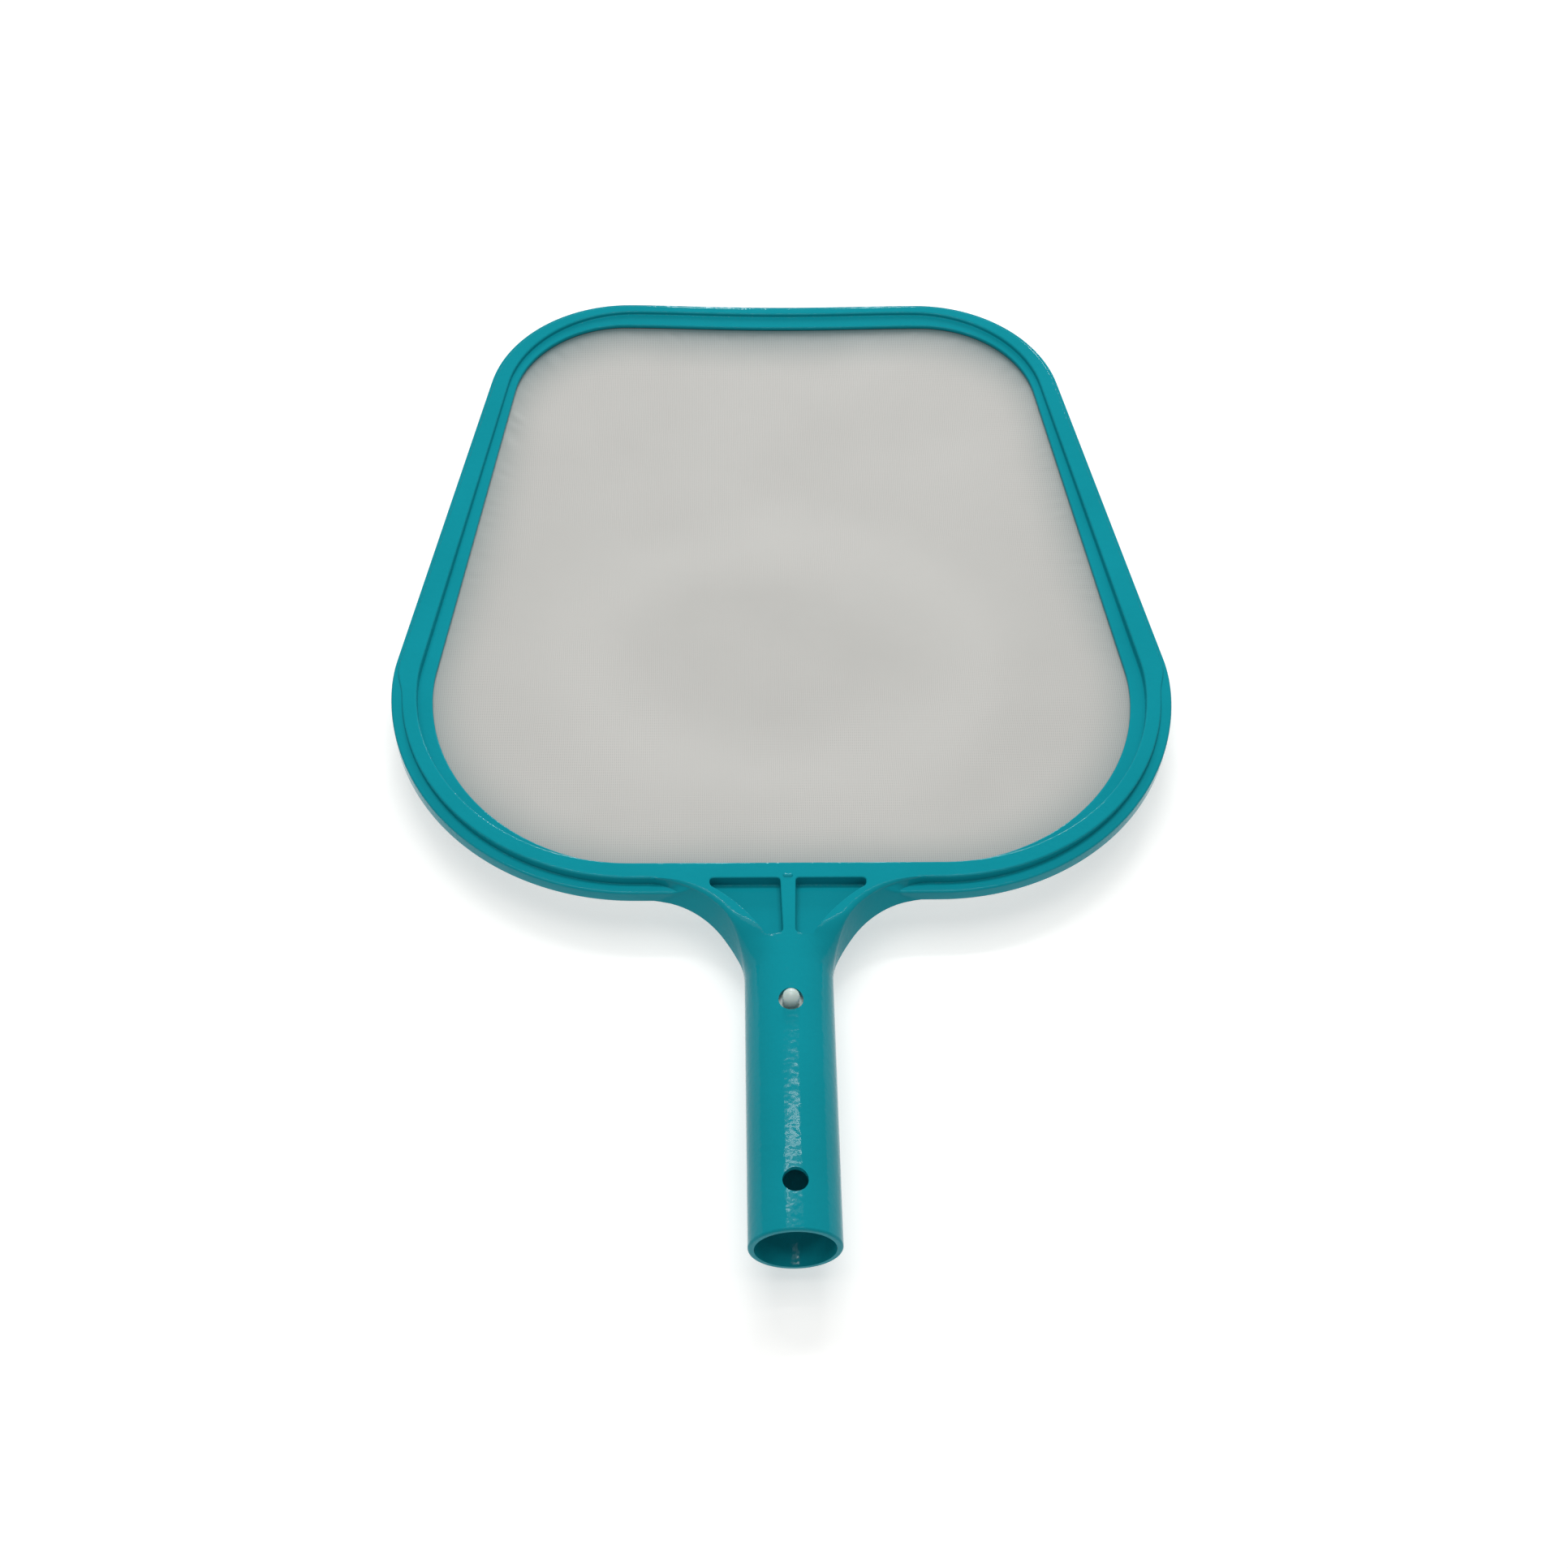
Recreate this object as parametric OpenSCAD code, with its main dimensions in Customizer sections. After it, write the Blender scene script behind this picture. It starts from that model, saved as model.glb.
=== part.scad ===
// Leaf skimmer head for a swimming pool pole: a moulded hoop and handle tube,
// a fine net held under the hoop's lip by a clamp ring, and a V-shaped spring
// clip whose two pins lock the handle tube in the pole.
// Units are millimetres.  The origin is the centre of the handle tube's open
// end.  +Y runs along the tube to the net, +X to the right and +Z up.

/* [Handle tube] */
// Outside diameter of the handle tube, a sliding fit in a 32 mm pole
tube_d = 28.5; // [27:0.5:30]
// Wall of the handle tube
tube_wall = 1.9; // [1.7:0.1:2.2]
// Length of the bore, from the open end to its blind end
bore_len = 96; // [94:1:97]
// Thickness of the wall that closes the bore
end_wall = 3; // [2.5:0.5:3.5]
// Diameter of the four pin holes
pin_hole_d = 7.8; // [7.4:0.1:8.6]
// Distance of the spare pair of pin holes from the open end
spare_hole_y = 16; // [12:0.5:22]
// Distance of the pair of pin holes that the clip uses
clip_hole_y = 77.4; // [72:0.2:80]
// Rounding of the open end's rim
rim_round = 0.8; // [0.5:0.1:0.8]

/* [Spring clip] */
// Diameter of the clip's pins
pin_d = 5.3; // [4.8:0.1:5.8]
// How far each pin stands out of the tube
pin_proud = 3.7; // [3:0.1:4.2]
// Width of the clip's legs
leg_w = 9; // [8:0.5:10]
// Thickness of the clip's strip
leg_t = 2; // [1.6:0.1:2.4]
// Distance along the tube from the pins back to the bend's centre
leg_len = 37; // [34:1:39]
// Mean radius of the bend
bend_r = 4.2; // [3.8:0.1:4.8]
// Length of each leg's flat pad, from its pin back towards the bend
pad_back = 6.5; // [5.5:0.5:8]
// How far the same pad's flat runs on past the side of its pin
pad_tail = 0.1; // [0.1:0.1:4]
// Gap between each leg's pad and the bore at rest
pad_gap = 0.3; // [0.2:0.05:0.4]
// Gap in each hinge line between the bend and a leg
hinge_gap = 0.05; // [0.03:0.01:0.08]

/* [Hoop outline] */
// Distance from the tube's open end to the hoop's outer far edge
hoop_far_y = 397.2; // [385:0.1:410]
// How far the middle of the far edge bows in from that line
far_bow = 1.3; // [0:0.1:2]
// Distance from the tube's open end to the line of the hoop's widest place
hip_y = 204; // [201:0.5:207]
// Half the length of the hoop's straight near side
near_half = 49.6; // [48:0.2:52]
// Radius of the outer edge's near corners
near_r = 85; // [83:0.5:87]
// Radius of the turn from a near corner into the straight side
hip_r = 60; // [40:1:75]
// Radius of the outer edge's far corners
far_r = 53; // [50:0.5:57]
// Inward lean of the outer edge's straight sides
outer_taper = 10; // [9.6:0.1:10.4]
// Inward lean of the straight sides of the ridge's inner edge
ridge_taper = 9.2; // [9:0.1:9.4]
// Inward lean of the straight sides of the lip's inner edge
lip_taper = 8.3; // [8.1:0.1:8.5]

/* [Hoop section] */
// Width of the ledge outside the ridge, on the handle's side
ledge_w = 3.7; // [3.2:0.1:4.2]
// Width of the ridge round the near corners
ridge_w = 5; // [4.6:0.1:5.4]
// Width of the ridge at the middle of the near side
near_ridge_w = 6.1; // [5.8:0.1:6.6]
// Width of the ridge and its shoulder across the far side
far_ridge_w = 4.7; // [4.3:0.1:5.2]
// Width of the lip at the hoop's widest place
lip_w = 5.1; // [4.8:0.1:5.6]
// Width of the lip at the middle of the near side
lip_near_w = 2.2; // [2:0.1:2.6]
// Width of the lip across the far side
lip_far_w = 6; // [5.6:0.1:6.4]
// Depth of the ledge below the ridge's top, at the handle
ledge_drop = 3.5; // [2.8:0.1:4]
// Distance from the tube's open end to the line where the ledge runs out
ledge_end_y = 212; // [206:1:218]
// Depth of the rounded shoulder that takes the ledge's place on the far half
shoulder_drop = 0.5; // [0.4:0.1:0.8]
// Width of that rounded shoulder
shoulder_w = 1.3; // [1.1:0.1:1.6]
// Depth of the lip below the ridge's top, at the handle
lip_drop_near = 4.8; // [4.4:0.1:5.2]
// Depth of the lip below the ridge's top, at the far edge
lip_drop_far = 1.6; // [1.5:0.1:2]
// Distance along the hoop over which the ledge gives way to the shoulder
ledge_fade = 14; // [8:1:18]
// Thickness of the lip
lip_t = 1.5; // [1.3:0.1:1.8]
// Depth of the clamp ring's rebate under the lip
rebate_h = 2.1; // [1.9:0.1:2.4]
// Rounding of the hoop's edges
edge_r = 0.8; // [0.6:0.05:0.9]
// Walls on either side of the groove that cores out the hoop's underside
core_wall = 1.6; // [1.4:0.1:1.8]
// Thickness of plastic left above that groove
core_roof = 2; // [1.6:0.1:2.2]

/* [Gusset] */
// Radius of the neck between the tube and the hoop
neck_r = 31; // [29:0.5:33]
// Rounding of the gusset's top edge where it meets the hoop
neck_edge = 1.4; // [1:0.1:2]
// Distance along the neck over which the round tube turns into the flat gusset
neck_fade = 15; // [12:1:20]
// Width of the rib between the two pockets, at the hoop
rib_w = 5.1; // [4:0.1:6]
// Width of the same rib at the tube
rib_w_tube = 4; // [3:0.1:4.6]
// Depth of the two pockets in the top
pocket_d = 4.4; // [3.8:0.1:5]
// Thickness of the web between the top and the bottom pockets
web_t = 2.2; // [1.8:0.1:2.8]
// Half the width across both pockets, at the hoop
pocket_half = 25.2; // [23:0.2:27]
// Half the width across both pockets, at the tube
pocket_foot = 7.4; // [6.4:0.2:8.4]
// Distance between the bore's blind end and the pockets
pocket_start = 5.5; // [5:0.5:6]
// Radius of each pocket's curved side
pocket_curve = 56; // [50:1:70]
// Rounding of the pockets' corners
pocket_round = 1; // [0.6:0.1:1.4]

/* [Net and clamp ring] */
// Thickness of the net
net_t = 0.5; // [0.4:0.05:0.6]
// Width of the net's plain hem that shows inside the lip
hem_w = 1.5; // [1:0.1:3]
// Spacing of the net's strands
mesh_pitch = 15; // [15:0.5:24]
// Width of one strand
strand_w = 1.2; // [0.8:0.1:2]
// Gap between the net, the clamp ring and what each lies against
seat_gap = 0.05; // [0.03:0.01:0.1]
// Side clearance of the net and the clamp ring in the rebate
ring_gap = 0.15; // [0.1:0.05:0.25]
// How far the clamp ring's inner edge stays back from the lip's edge
ring_back = 0.5; // [0.3:0.1:0.8]

/* [Hidden] */

TEAL = [0.06, 0.55, 0.6];
NET_GREY = [0.75, 0.75, 0.73];
CLIP_WHITE = [0.82, 0.85, 0.84];
$fn = 64;
eps = 0.01;

tube_r = tube_d / 2;
bore_r = tube_r - tube_wall;
closed_y = bore_len + end_wall;          // the tube's closed end
top_z = tube_r;                          // the ridge and the gusset are level with the tube's top
near_y = hip_y - near_r;                 // the hoop's outer near edge
far_d_y = hoop_far_y - far_ridge_w;      // the ridge's inner far edge
far_i_y = far_d_y - lip_far_w;           // the lip's inner far edge
lip_slope = (lip_drop_near - lip_drop_far) / (far_d_y - near_y);
lip_tilt = atan(lip_slope);
lip_hip_x = near_half + near_r - ledge_w - ridge_w - lip_w;
ridge_r = near_r - ledge_w - near_ridge_w;
lip_r = ridge_r - lip_near_w;

// ---------- outlines of the hoop ----------
// Each outline has a straight near side, two near corners, a short hip arc, a
// straight leaning side, two far corners and a straight far side.  All three
// have the same number of points, so that point k of one faces point k of the
// next.
NEAR_STEPS = 18;
HIP_STEPS = 4;
FAR_STEPS = 10;
SIDE_SPOTS = [0.03, 0.08, 0.15, 0.4, 0.7];   // shares of the straight side's length
BOW_SPOTS = [0.75, 0.5, 0.25];               // shares of the far side's half length

function polar(r, a) = r * [cos(a), sin(a)];
function arc(c, r, a0, a1, n) = [for (i = [0:n]) c + polar(r, a0 + (a1 - a0) * i / n)];
function mirrored(h) = concat(h, [for (i = [len(h) - 1:-1:0]) [-h[i][0], h[i][1]]]);

// hip_x and rn are the outline's half-width at the hips and its near corners'
// radius, far_y and rf the far edge and the far corners' radius.
function outline(hip_x, rn, taper, far_y, rf) =
    let (near_c = [hip_x - rn, hip_y],
         hip_c = [hip_x - hip_r, hip_y],
         reach = hip_c * polar(1, taper) + hip_r,
         far_c = [(reach - rf - (far_y - rf) * sin(taper)) / cos(taper), far_y - rf],
         side_a = hip_c + polar(hip_r, taper),
         side_b = far_c + polar(rf, taper))
    mirrored(concat(
        [[near_c[0] / 3, hip_y - rn]],
        arc(near_c, rn, -90, 0, NEAR_STEPS),
        [for (i = [1:HIP_STEPS]) hip_c + polar(hip_r, taper * i / HIP_STEPS)],
        [for (s = SIDE_SPOTS) side_a + (side_b - side_a) * s],
        arc(far_c, rf, taper, 90, FAR_STEPS),
        [for (s = BOW_SPOTS) [far_c[0] * s, far_y - far_bow * (1 - s * s) * (1 - s * s)]]));

outer_hip_x = near_half + near_r;
ridge_in = ledge_w + ridge_w;
function outer_line() = outline(outer_hip_x, near_r, outer_taper, hoop_far_y, far_r);
function ridge_line(g = 0) =
    outline(outer_hip_x - ridge_in - g, ridge_r - g, ridge_taper, far_d_y - g, far_r - far_ridge_w - g);
function lip_line(g = 0) =
    outline(lip_hip_x + g, lip_r + g, lip_taper, far_i_y + g, far_r - far_ridge_w - lip_far_w + g);

// ---------- section of the hoop ----------
function ramp(t) = let (c = max(0, min(1, t))) c * c * (3 - 2 * c);
function lip_depth(y) = lip_drop_near - lip_slope * (y - near_y);
function ledge_depth(y) = max(shoulder_drop, ledge_drop * (ledge_end_y - y) / (ledge_end_y - near_y));
function ledge_width(y) = ledge_w + (shoulder_w - ledge_w) * ramp((y - ledge_end_y) / ledge_fade + 1);

// Each point is [distance in from the outer edge, depth, 1 where the depth is
// counted from the tilted plane of the lip and 0 where from the ridge's top].
// d and i are the distances in to the ridge's and the lip's inner edges.
function section(d, i, y) =
    let (w = ledge_width(y), h = ledge_depth(y), lip = lip_depth(y), base = lip_t + rebate_h, e = edge_r,
         roof = h + core_roof)
    [[e, base, 1], [0, base - e, 1],
     [0, h + 0.9 * e, 0], [0.3 * e, h + 0.3 * e, 0], [min(1.2 * e, 0.6 * w), h, 0],
     [w, h - 0.05 * e, 0], [w + 0.2 * e, min(0.6 * e, h / 2), 0], [w + e, 0, 0],
     [d - 1.1 * e, 0, 0], [d - 0.3 * e, 0.35 * e, 0], [d, 1.1 * e, 0],
     [d + 0.1 * e, -0.35 * e, 1], [d + 0.7 * e, 0, 1], [i - 0.9 * e, 0, 1], [i - 0.1 * e, 0.4 * e, 1], [i, e, 1],
     [i, lip_t, 1], [d, lip_t, 1], [d, base, 1],
     [d - core_wall, base, 1], [d - core_wall - 0.1, roof, 0], [core_wall + 0.1, roof, 0], [core_wall, base, 1]];

module hoop() {
    outer = outer_line();
    ridge = ridge_line();
    lip = lip_line();
    n = len(outer);
    m = len(section(ridge_in, ridge_in + lip_w, hip_y));
    points = [for (k = [0:n - 1])
        let (o = outer[k], r = ridge[k], d = norm(r - o), i = d + norm(lip[k] - r))
        for (s = section(d, i, o[1]))
            let (p = s[0] < d ? o + (r - o) * s[0] / d : r + (lip[k] - r) * (s[0] - d) / (i - d))
            [p[0], p[1], top_z - s[1] - s[2] * lip_depth(p[1])]];
    faces = [for (k = [0:n - 1], j = [0:m - 1])
        let (k2 = (k + 1) % n, j2 = (j + 1) % m)
        each [[k * m + j, k * m + j2, k2 * m + j], [k * m + j2, k2 * m + j2, k2 * m + j]]];
    polyhedron(points, faces);
}

// ---------- gusset between the tube and the hoop ----------
neck_c = [tube_r + neck_r, near_y + ledge_w - neck_r];
NECK_STEPS = 12;
EDGE_STEPS = 12;
gusset_low_z = top_z - lip_drop_near - lip_t - rebate_h + 0.4;   // just above the hoop's underside

neck_sink = 0.5;   // how far the gusset's underside dips into the tube's lower half
neck_top = 0.1;    // width of the flat along the top where the neck leaves the round tube
rise_y = closed_y + 2;   // the underside starts to rise here, just past the closed end
function neck_low(y) =
    -neck_sink + (gusset_low_z + neck_sink) * max(0, min(1, (y - rise_y) / (near_y - rise_y)));
function neck_round(y) =
    neck_edge + (tube_r - neck_top / 2 - neck_edge) * (1 - ramp((y - neck_c[1]) / neck_fade));

// The neck's lower edge keeps the ledge's width outside its top edge, so the
// side wall slants out, from nothing where the neck leaves the tube.
function neck_flare(w, y) =
    let (b = min(neck_r, y - neck_c[1] + ledge_w))
    (neck_c[0] - sqrt(neck_r * neck_r - b * b) - w) * ramp((y - neck_c[1]) / neck_fade);

// One section across the neck: half-width w, top corners of radius r.
function neck_section(w, y) =
    let (r = neck_round(y), low = neck_low(y), foot = w + neck_flare(w, y),
         side = [for (p = arc([w - r, top_z - r], r, 0, 90, EDGE_STEPS)) [p[0], y, p[1]]])
    concat([[foot, y, low]], side, [for (i = [EDGE_STEPS:-1:0]) [-side[i][0], y, side[i][2]]], [[-foot, y, low]]);

module neck() {
    stations = concat([for (i = [0:NECK_STEPS]) neck_c + polar(neck_r, 180 - 90 * i / NECK_STEPS)],
                      [[neck_c[0], near_y + ledge_w + near_ridge_w - 1.2 * edge_r]]);
    points = [for (s = stations) each neck_section(s[0], s[1])];
    m = 2 * EDGE_STEPS + 4;
    n = len(stations);
    polyhedron(points, concat(
        [[for (j = [m - 1:-1:0]) j]],
        [for (k = [0:n - 2], j = [0:m - 1])
            let (a = k * m + j, b = k * m + (j + 1) % m)
            each [[a, b, a + m], [b, b + m, a + m]]],
        [[for (j = [0:m - 1]) (n - 1) * m + j]]));
}

function arc_centre(p, q, r) =
    let (d = q - p, h = sqrt(r * r - d * d / 4))
    (p + q) / 2 + h / norm(d) * [d[1], -d[0]];

module pocket_shape() {
    near_pocket = bore_len + pocket_start;
    far_pocket = near_y + ledge_w;
    foot = [pocket_foot, near_pocket - 0.2];
    corner = [pocket_half, far_pocket - 1.5];
    offset(r = pocket_round, $fn = 24)
        offset(delta = -pocket_round)
            difference() {
                polygon([[rib_w / 2, far_pocket], corner, foot, [rib_w_tube / 2, near_pocket + 0.4]]);
                translate(arc_centre(foot, corner, pocket_curve))
                    circle(pocket_curve, $fn = 160);
            }
}

module pockets() {
    for (side = [0, 1])
        mirror([side, 0, 0]) {
            translate([0, 0, top_z - pocket_d])
                linear_extrude(pocket_d + 1)
                    pocket_shape();
            translate([0, 0, -tube_r])
                linear_extrude(tube_r + top_z - pocket_d - web_t)
                    intersection() {
                        pocket_shape();
                        square([pocket_half, near_y]);
                    }
        }
}

// The rib under the gusset carries the tube's closed end to the hoop.
module keel() {
    foot_z = -tube_r + end_wall / 2;
    root = 1;          // how far the rib is sunk into the tube's end wall
    tip_y = near_y + 2 * root;
    tip_z = gusset_low_z + neck_sink;
    web_z = top_z - pocket_d - web_t / 2;
    rotate([90, 0, 90])
        translate([0, 0, -rib_w_tube / 2])
            linear_extrude(rib_w_tube)
                polygon([[bore_len + root, foot_z], [closed_y, foot_z], [tip_y, tip_z], [tip_y, web_z],
                         [bore_len + root, web_z]]);
}

// ---------- handle tube ----------
module along_y() {
    rotate([-90, 0, 0])
        children();
}

module tube_body() {
    difference() {
        along_y()
            rotate_extrude($fn = 96) {
                translate([0, rim_round])
                    square([tube_r, closed_y - rim_round - end_wall / 2]);
                square([tube_r - rim_round, closed_y - end_wall / 2]);
                translate([tube_r - rim_round, rim_round])
                    circle(rim_round, $fn = 24);
                translate([0, closed_y - end_wall])
                    square([tube_r - end_wall / 2, end_wall]);
                translate([tube_r - end_wall / 2, closed_y - end_wall / 2])
                    circle(end_wall / 2, $fn = 24);
            }
        translate([-tube_r, neck_c[1], 0])
            cube([tube_d, closed_y, tube_r + 1]);
    }
}

module bore() {
    along_y()
        rotate_extrude($fn = 96) {
            translate([0, rim_round])
                square([bore_r, bore_len - rim_round]);
            difference() {
                translate([0, -1])
                    square([bore_r + rim_round, rim_round + 1 + eps]);
                translate([bore_r + rim_round, rim_round])
                    circle(rim_round, $fn = 24);
            }
        }
}

module pin_holes() {
    for (y = [spare_hole_y, clip_hole_y])
        translate([0, y, -tube_r - 1])
            cylinder(h = tube_d + 2, d = pin_hole_d);
}

// A small raised pip where the moulding's gate was trimmed.
module gate_pip() {
    pip_r = 0.9;
    pip_half = 0.9;
    pip_y = near_y + ledge_w + pip_r;
    translate([0, pip_y, top_z - pip_r / 2]) {
        rotate([0, 90, 0])
            cylinder(h = 2 * pip_half, r = pip_r, center = true, $fn = 24);
        for (side = [-1, 1])
            translate([side * pip_half, 0, 0])
                sphere(pip_r, $fn = 24);
    }
}

module frame() {
    color(TEAL)
        difference() {
            union() {
                difference() {
                    union() {
                        hoop();
                        neck();
                    }
                    pockets();
                }
                tube_body();
                keel();
                gate_pip();
            }
            bore();
            pin_holes();
        }
}

// ---------- net and clamp ring ----------
// Places children, drawn flat from z = 0 down, against the lip's underside.
module under_lip(depth) {
    translate([0, near_y, top_z - lip_drop_near - lip_t - depth])
        rotate([lip_tilt, 0, 0])
            translate([0, -near_y, 0])
                children();
}

// True where p lies inside the outline.
function inside(p, line) =
    let (n = len(line),
         hits = [for (i = [0:n - 1])
             let (a = line[i], b = line[(i + 1) % n])
             if ((a[1] > p[1]) != (b[1] > p[1]) && p[0] < a[0] + (b[0] - a[0]) * (p[1] - a[1]) / (b[1] - a[1])) 1])
    len(hits) % 2 == 1;

module mesh_gaps() {
    hem = lip_line(-hem_w);
    gap = mesh_pitch - strand_w;
    columns = ceil(outer_hip_x / mesh_pitch);
    rows = ceil((far_i_y - near_y) / mesh_pitch);
    intersection() {
        polygon(hem);
        for (i = [-columns:columns], j = [0:rows])
            let (c = [i * mesh_pitch, near_y + (j + 0.75) * mesh_pitch])
            if (inside(c, lip_line(0.3 * gap)))
                translate(c)
                    square(gap, center = true);
    }
}

module net() {
    color(NET_GREY)
        under_lip(seat_gap + net_t)
            linear_extrude(net_t)
                difference() {
                    polygon(ridge_line(ring_gap));
                    mesh_gaps();
                }
}

module clamp_ring() {
    ring_t = rebate_h - net_t - 2 * seat_gap;
    color(TEAL)
        under_lip(2 * seat_gap + net_t + ring_t)
            linear_extrude(ring_t)
                difference() {
                    polygon(ridge_line(ring_gap));
                    polygon(lip_line(ring_back));
                }
}

// ---------- spring clip ----------
// The legs' pads lie flat along the bore and their corners just miss it.
pad_top = sqrt(bore_r * bore_r - leg_w * leg_w / 4) - pad_gap;
pad_mid = pad_top - leg_t / 2;
bend_c = clip_hole_y - leg_len;
kink = [clip_hole_y - pad_back, pad_mid];

// The strip leaves the bend along the tangent from the bend to the kink.
leg_a = asin((pad_mid - bend_r) / norm([kink[0] - bend_c, pad_mid])) * 1.04;
bend_end = [bend_c - bend_r * sin(leg_a), bend_r * cos(leg_a)];
hinge = bend_end + (leg_t / 2 + hinge_gap) * [cos(leg_a), sin(leg_a)];

// Draws a flat shape of the Y-Z plane across the clip's width.
module across() {
    rotate([90, 0, 90])
        translate([0, 0, -leg_w / 2])
            linear_extrude(leg_w)
                children();
}

module strip(a, b) {
    d = b - a;
    translate(a)
        rotate(atan2(d[1], d[0]))
            translate([0, -leg_t / 2])
                square([norm(d), leg_t]);
    for (p = [a, b])
        translate(p)
            circle(leg_t / 2);
}

module clip_bend() {
    far_cut = 4 * bend_r;
    color(CLIP_WHITE)
        across()
            difference() {
                translate([bend_c, 0])
                    circle(bend_r + leg_t / 2);
                translate([bend_c, 0])
                    circle(bend_r - leg_t / 2);
                for (side = [0, 1])
                    mirror([0, side])
                        translate([bend_c, 0])
                            rotate(leg_a)
                                translate([0, -bend_r])
                                    square([far_cut, far_cut]);
            }
}

module leg() {
    pin_r = pin_d / 2;
    pin_top = tube_r + pin_proud;
    across() {
        strip(hinge, kink);
        strip(kink, [clip_hole_y + pin_r + pad_tail, pad_mid]);
    }
    translate([0, clip_hole_y, pad_mid])
        cylinder(h = pin_top - pin_r - pad_mid, r = pin_r);
    translate([0, clip_hole_y, pin_top - pin_r])
        sphere(pin_r);
}

module clip_top_leg() {
    color(CLIP_WHITE)
        leg();
}

module clip_bottom_leg() {
    color(CLIP_WHITE)
        mirror([0, 0, 1])
            leg();
}

frame();
net();
clamp_ring();
clip_bend();
clip_top_leg();
clip_bottom_leg();
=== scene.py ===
"""Leaf skimmer head: moulded frame, woven net, clamp ring and spring clip.

The frame comes packed, and every piece but the clip's legs rides on its body.
Units are metres.  The origin is the centre of the handle tube's open end, +Y runs
along the tube to the net, +X to the right and +Z up.
"""

from math import asin, atan, cos, exp, hypot, pi, radians, sin, sqrt

import bmesh
import bpy
from bpy.props import FloatProperty, FloatVectorProperty, PointerProperty
from mathutils import Matrix, Vector, noise


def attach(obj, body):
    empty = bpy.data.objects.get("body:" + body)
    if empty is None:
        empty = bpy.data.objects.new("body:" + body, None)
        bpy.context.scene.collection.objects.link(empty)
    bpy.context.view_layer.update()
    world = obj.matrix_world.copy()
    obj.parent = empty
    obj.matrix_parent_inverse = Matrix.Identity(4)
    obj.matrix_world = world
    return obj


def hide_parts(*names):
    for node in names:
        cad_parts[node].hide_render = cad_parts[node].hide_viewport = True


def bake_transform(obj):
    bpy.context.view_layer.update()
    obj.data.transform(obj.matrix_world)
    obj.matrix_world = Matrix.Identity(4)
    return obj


bl_info = {
    "name": "Leaf Skimmer Head",
    "version": (1, 0, 0),
    "blender": (4, 5, 0),
    "location": "View3D > Sidebar > Skimmer",
    "description": "Builds the moulded frame, net, clamp ring and clip of a leaf skimmer head",
    "category": "Add Mesh",
}

MM = 0.001
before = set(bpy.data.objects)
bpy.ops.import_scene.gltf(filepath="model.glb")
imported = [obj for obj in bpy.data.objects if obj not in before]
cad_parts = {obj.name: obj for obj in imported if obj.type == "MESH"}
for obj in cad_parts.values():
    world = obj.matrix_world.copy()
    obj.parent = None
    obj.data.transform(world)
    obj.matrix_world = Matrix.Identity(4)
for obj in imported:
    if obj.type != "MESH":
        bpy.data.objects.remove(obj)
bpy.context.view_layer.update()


# ---------- properties ----------
def linear(code):
    """The linear colour of an sRGB hex value such as #0F8B96."""
    channels = [int(code[i : i + 2], 16) / 255 for i in (1, 3, 5)]
    return tuple(c / 12.92 if c <= 0.04045 else ((c + 0.055) / 1.055) ** 2.4 for c in channels)


def size(value, label, text):
    """A length property whose default is given in millimetres."""
    return FloatProperty(
        name=label, description=text, default=value * MM, min=0, unit="LENGTH", precision=5
    )


def lean(value, label, text):
    """An angle property whose default is given in degrees."""
    return FloatProperty(name=label, description=text, default=radians(value), min=0, unit="ROTATION")


def tint(code, label, text):
    """A colour property whose default is given as an sRGB hex value."""
    return FloatVectorProperty(
        name=label, description=text, default=linear(code), min=0, max=1, size=3, subtype="COLOR"
    )


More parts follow.
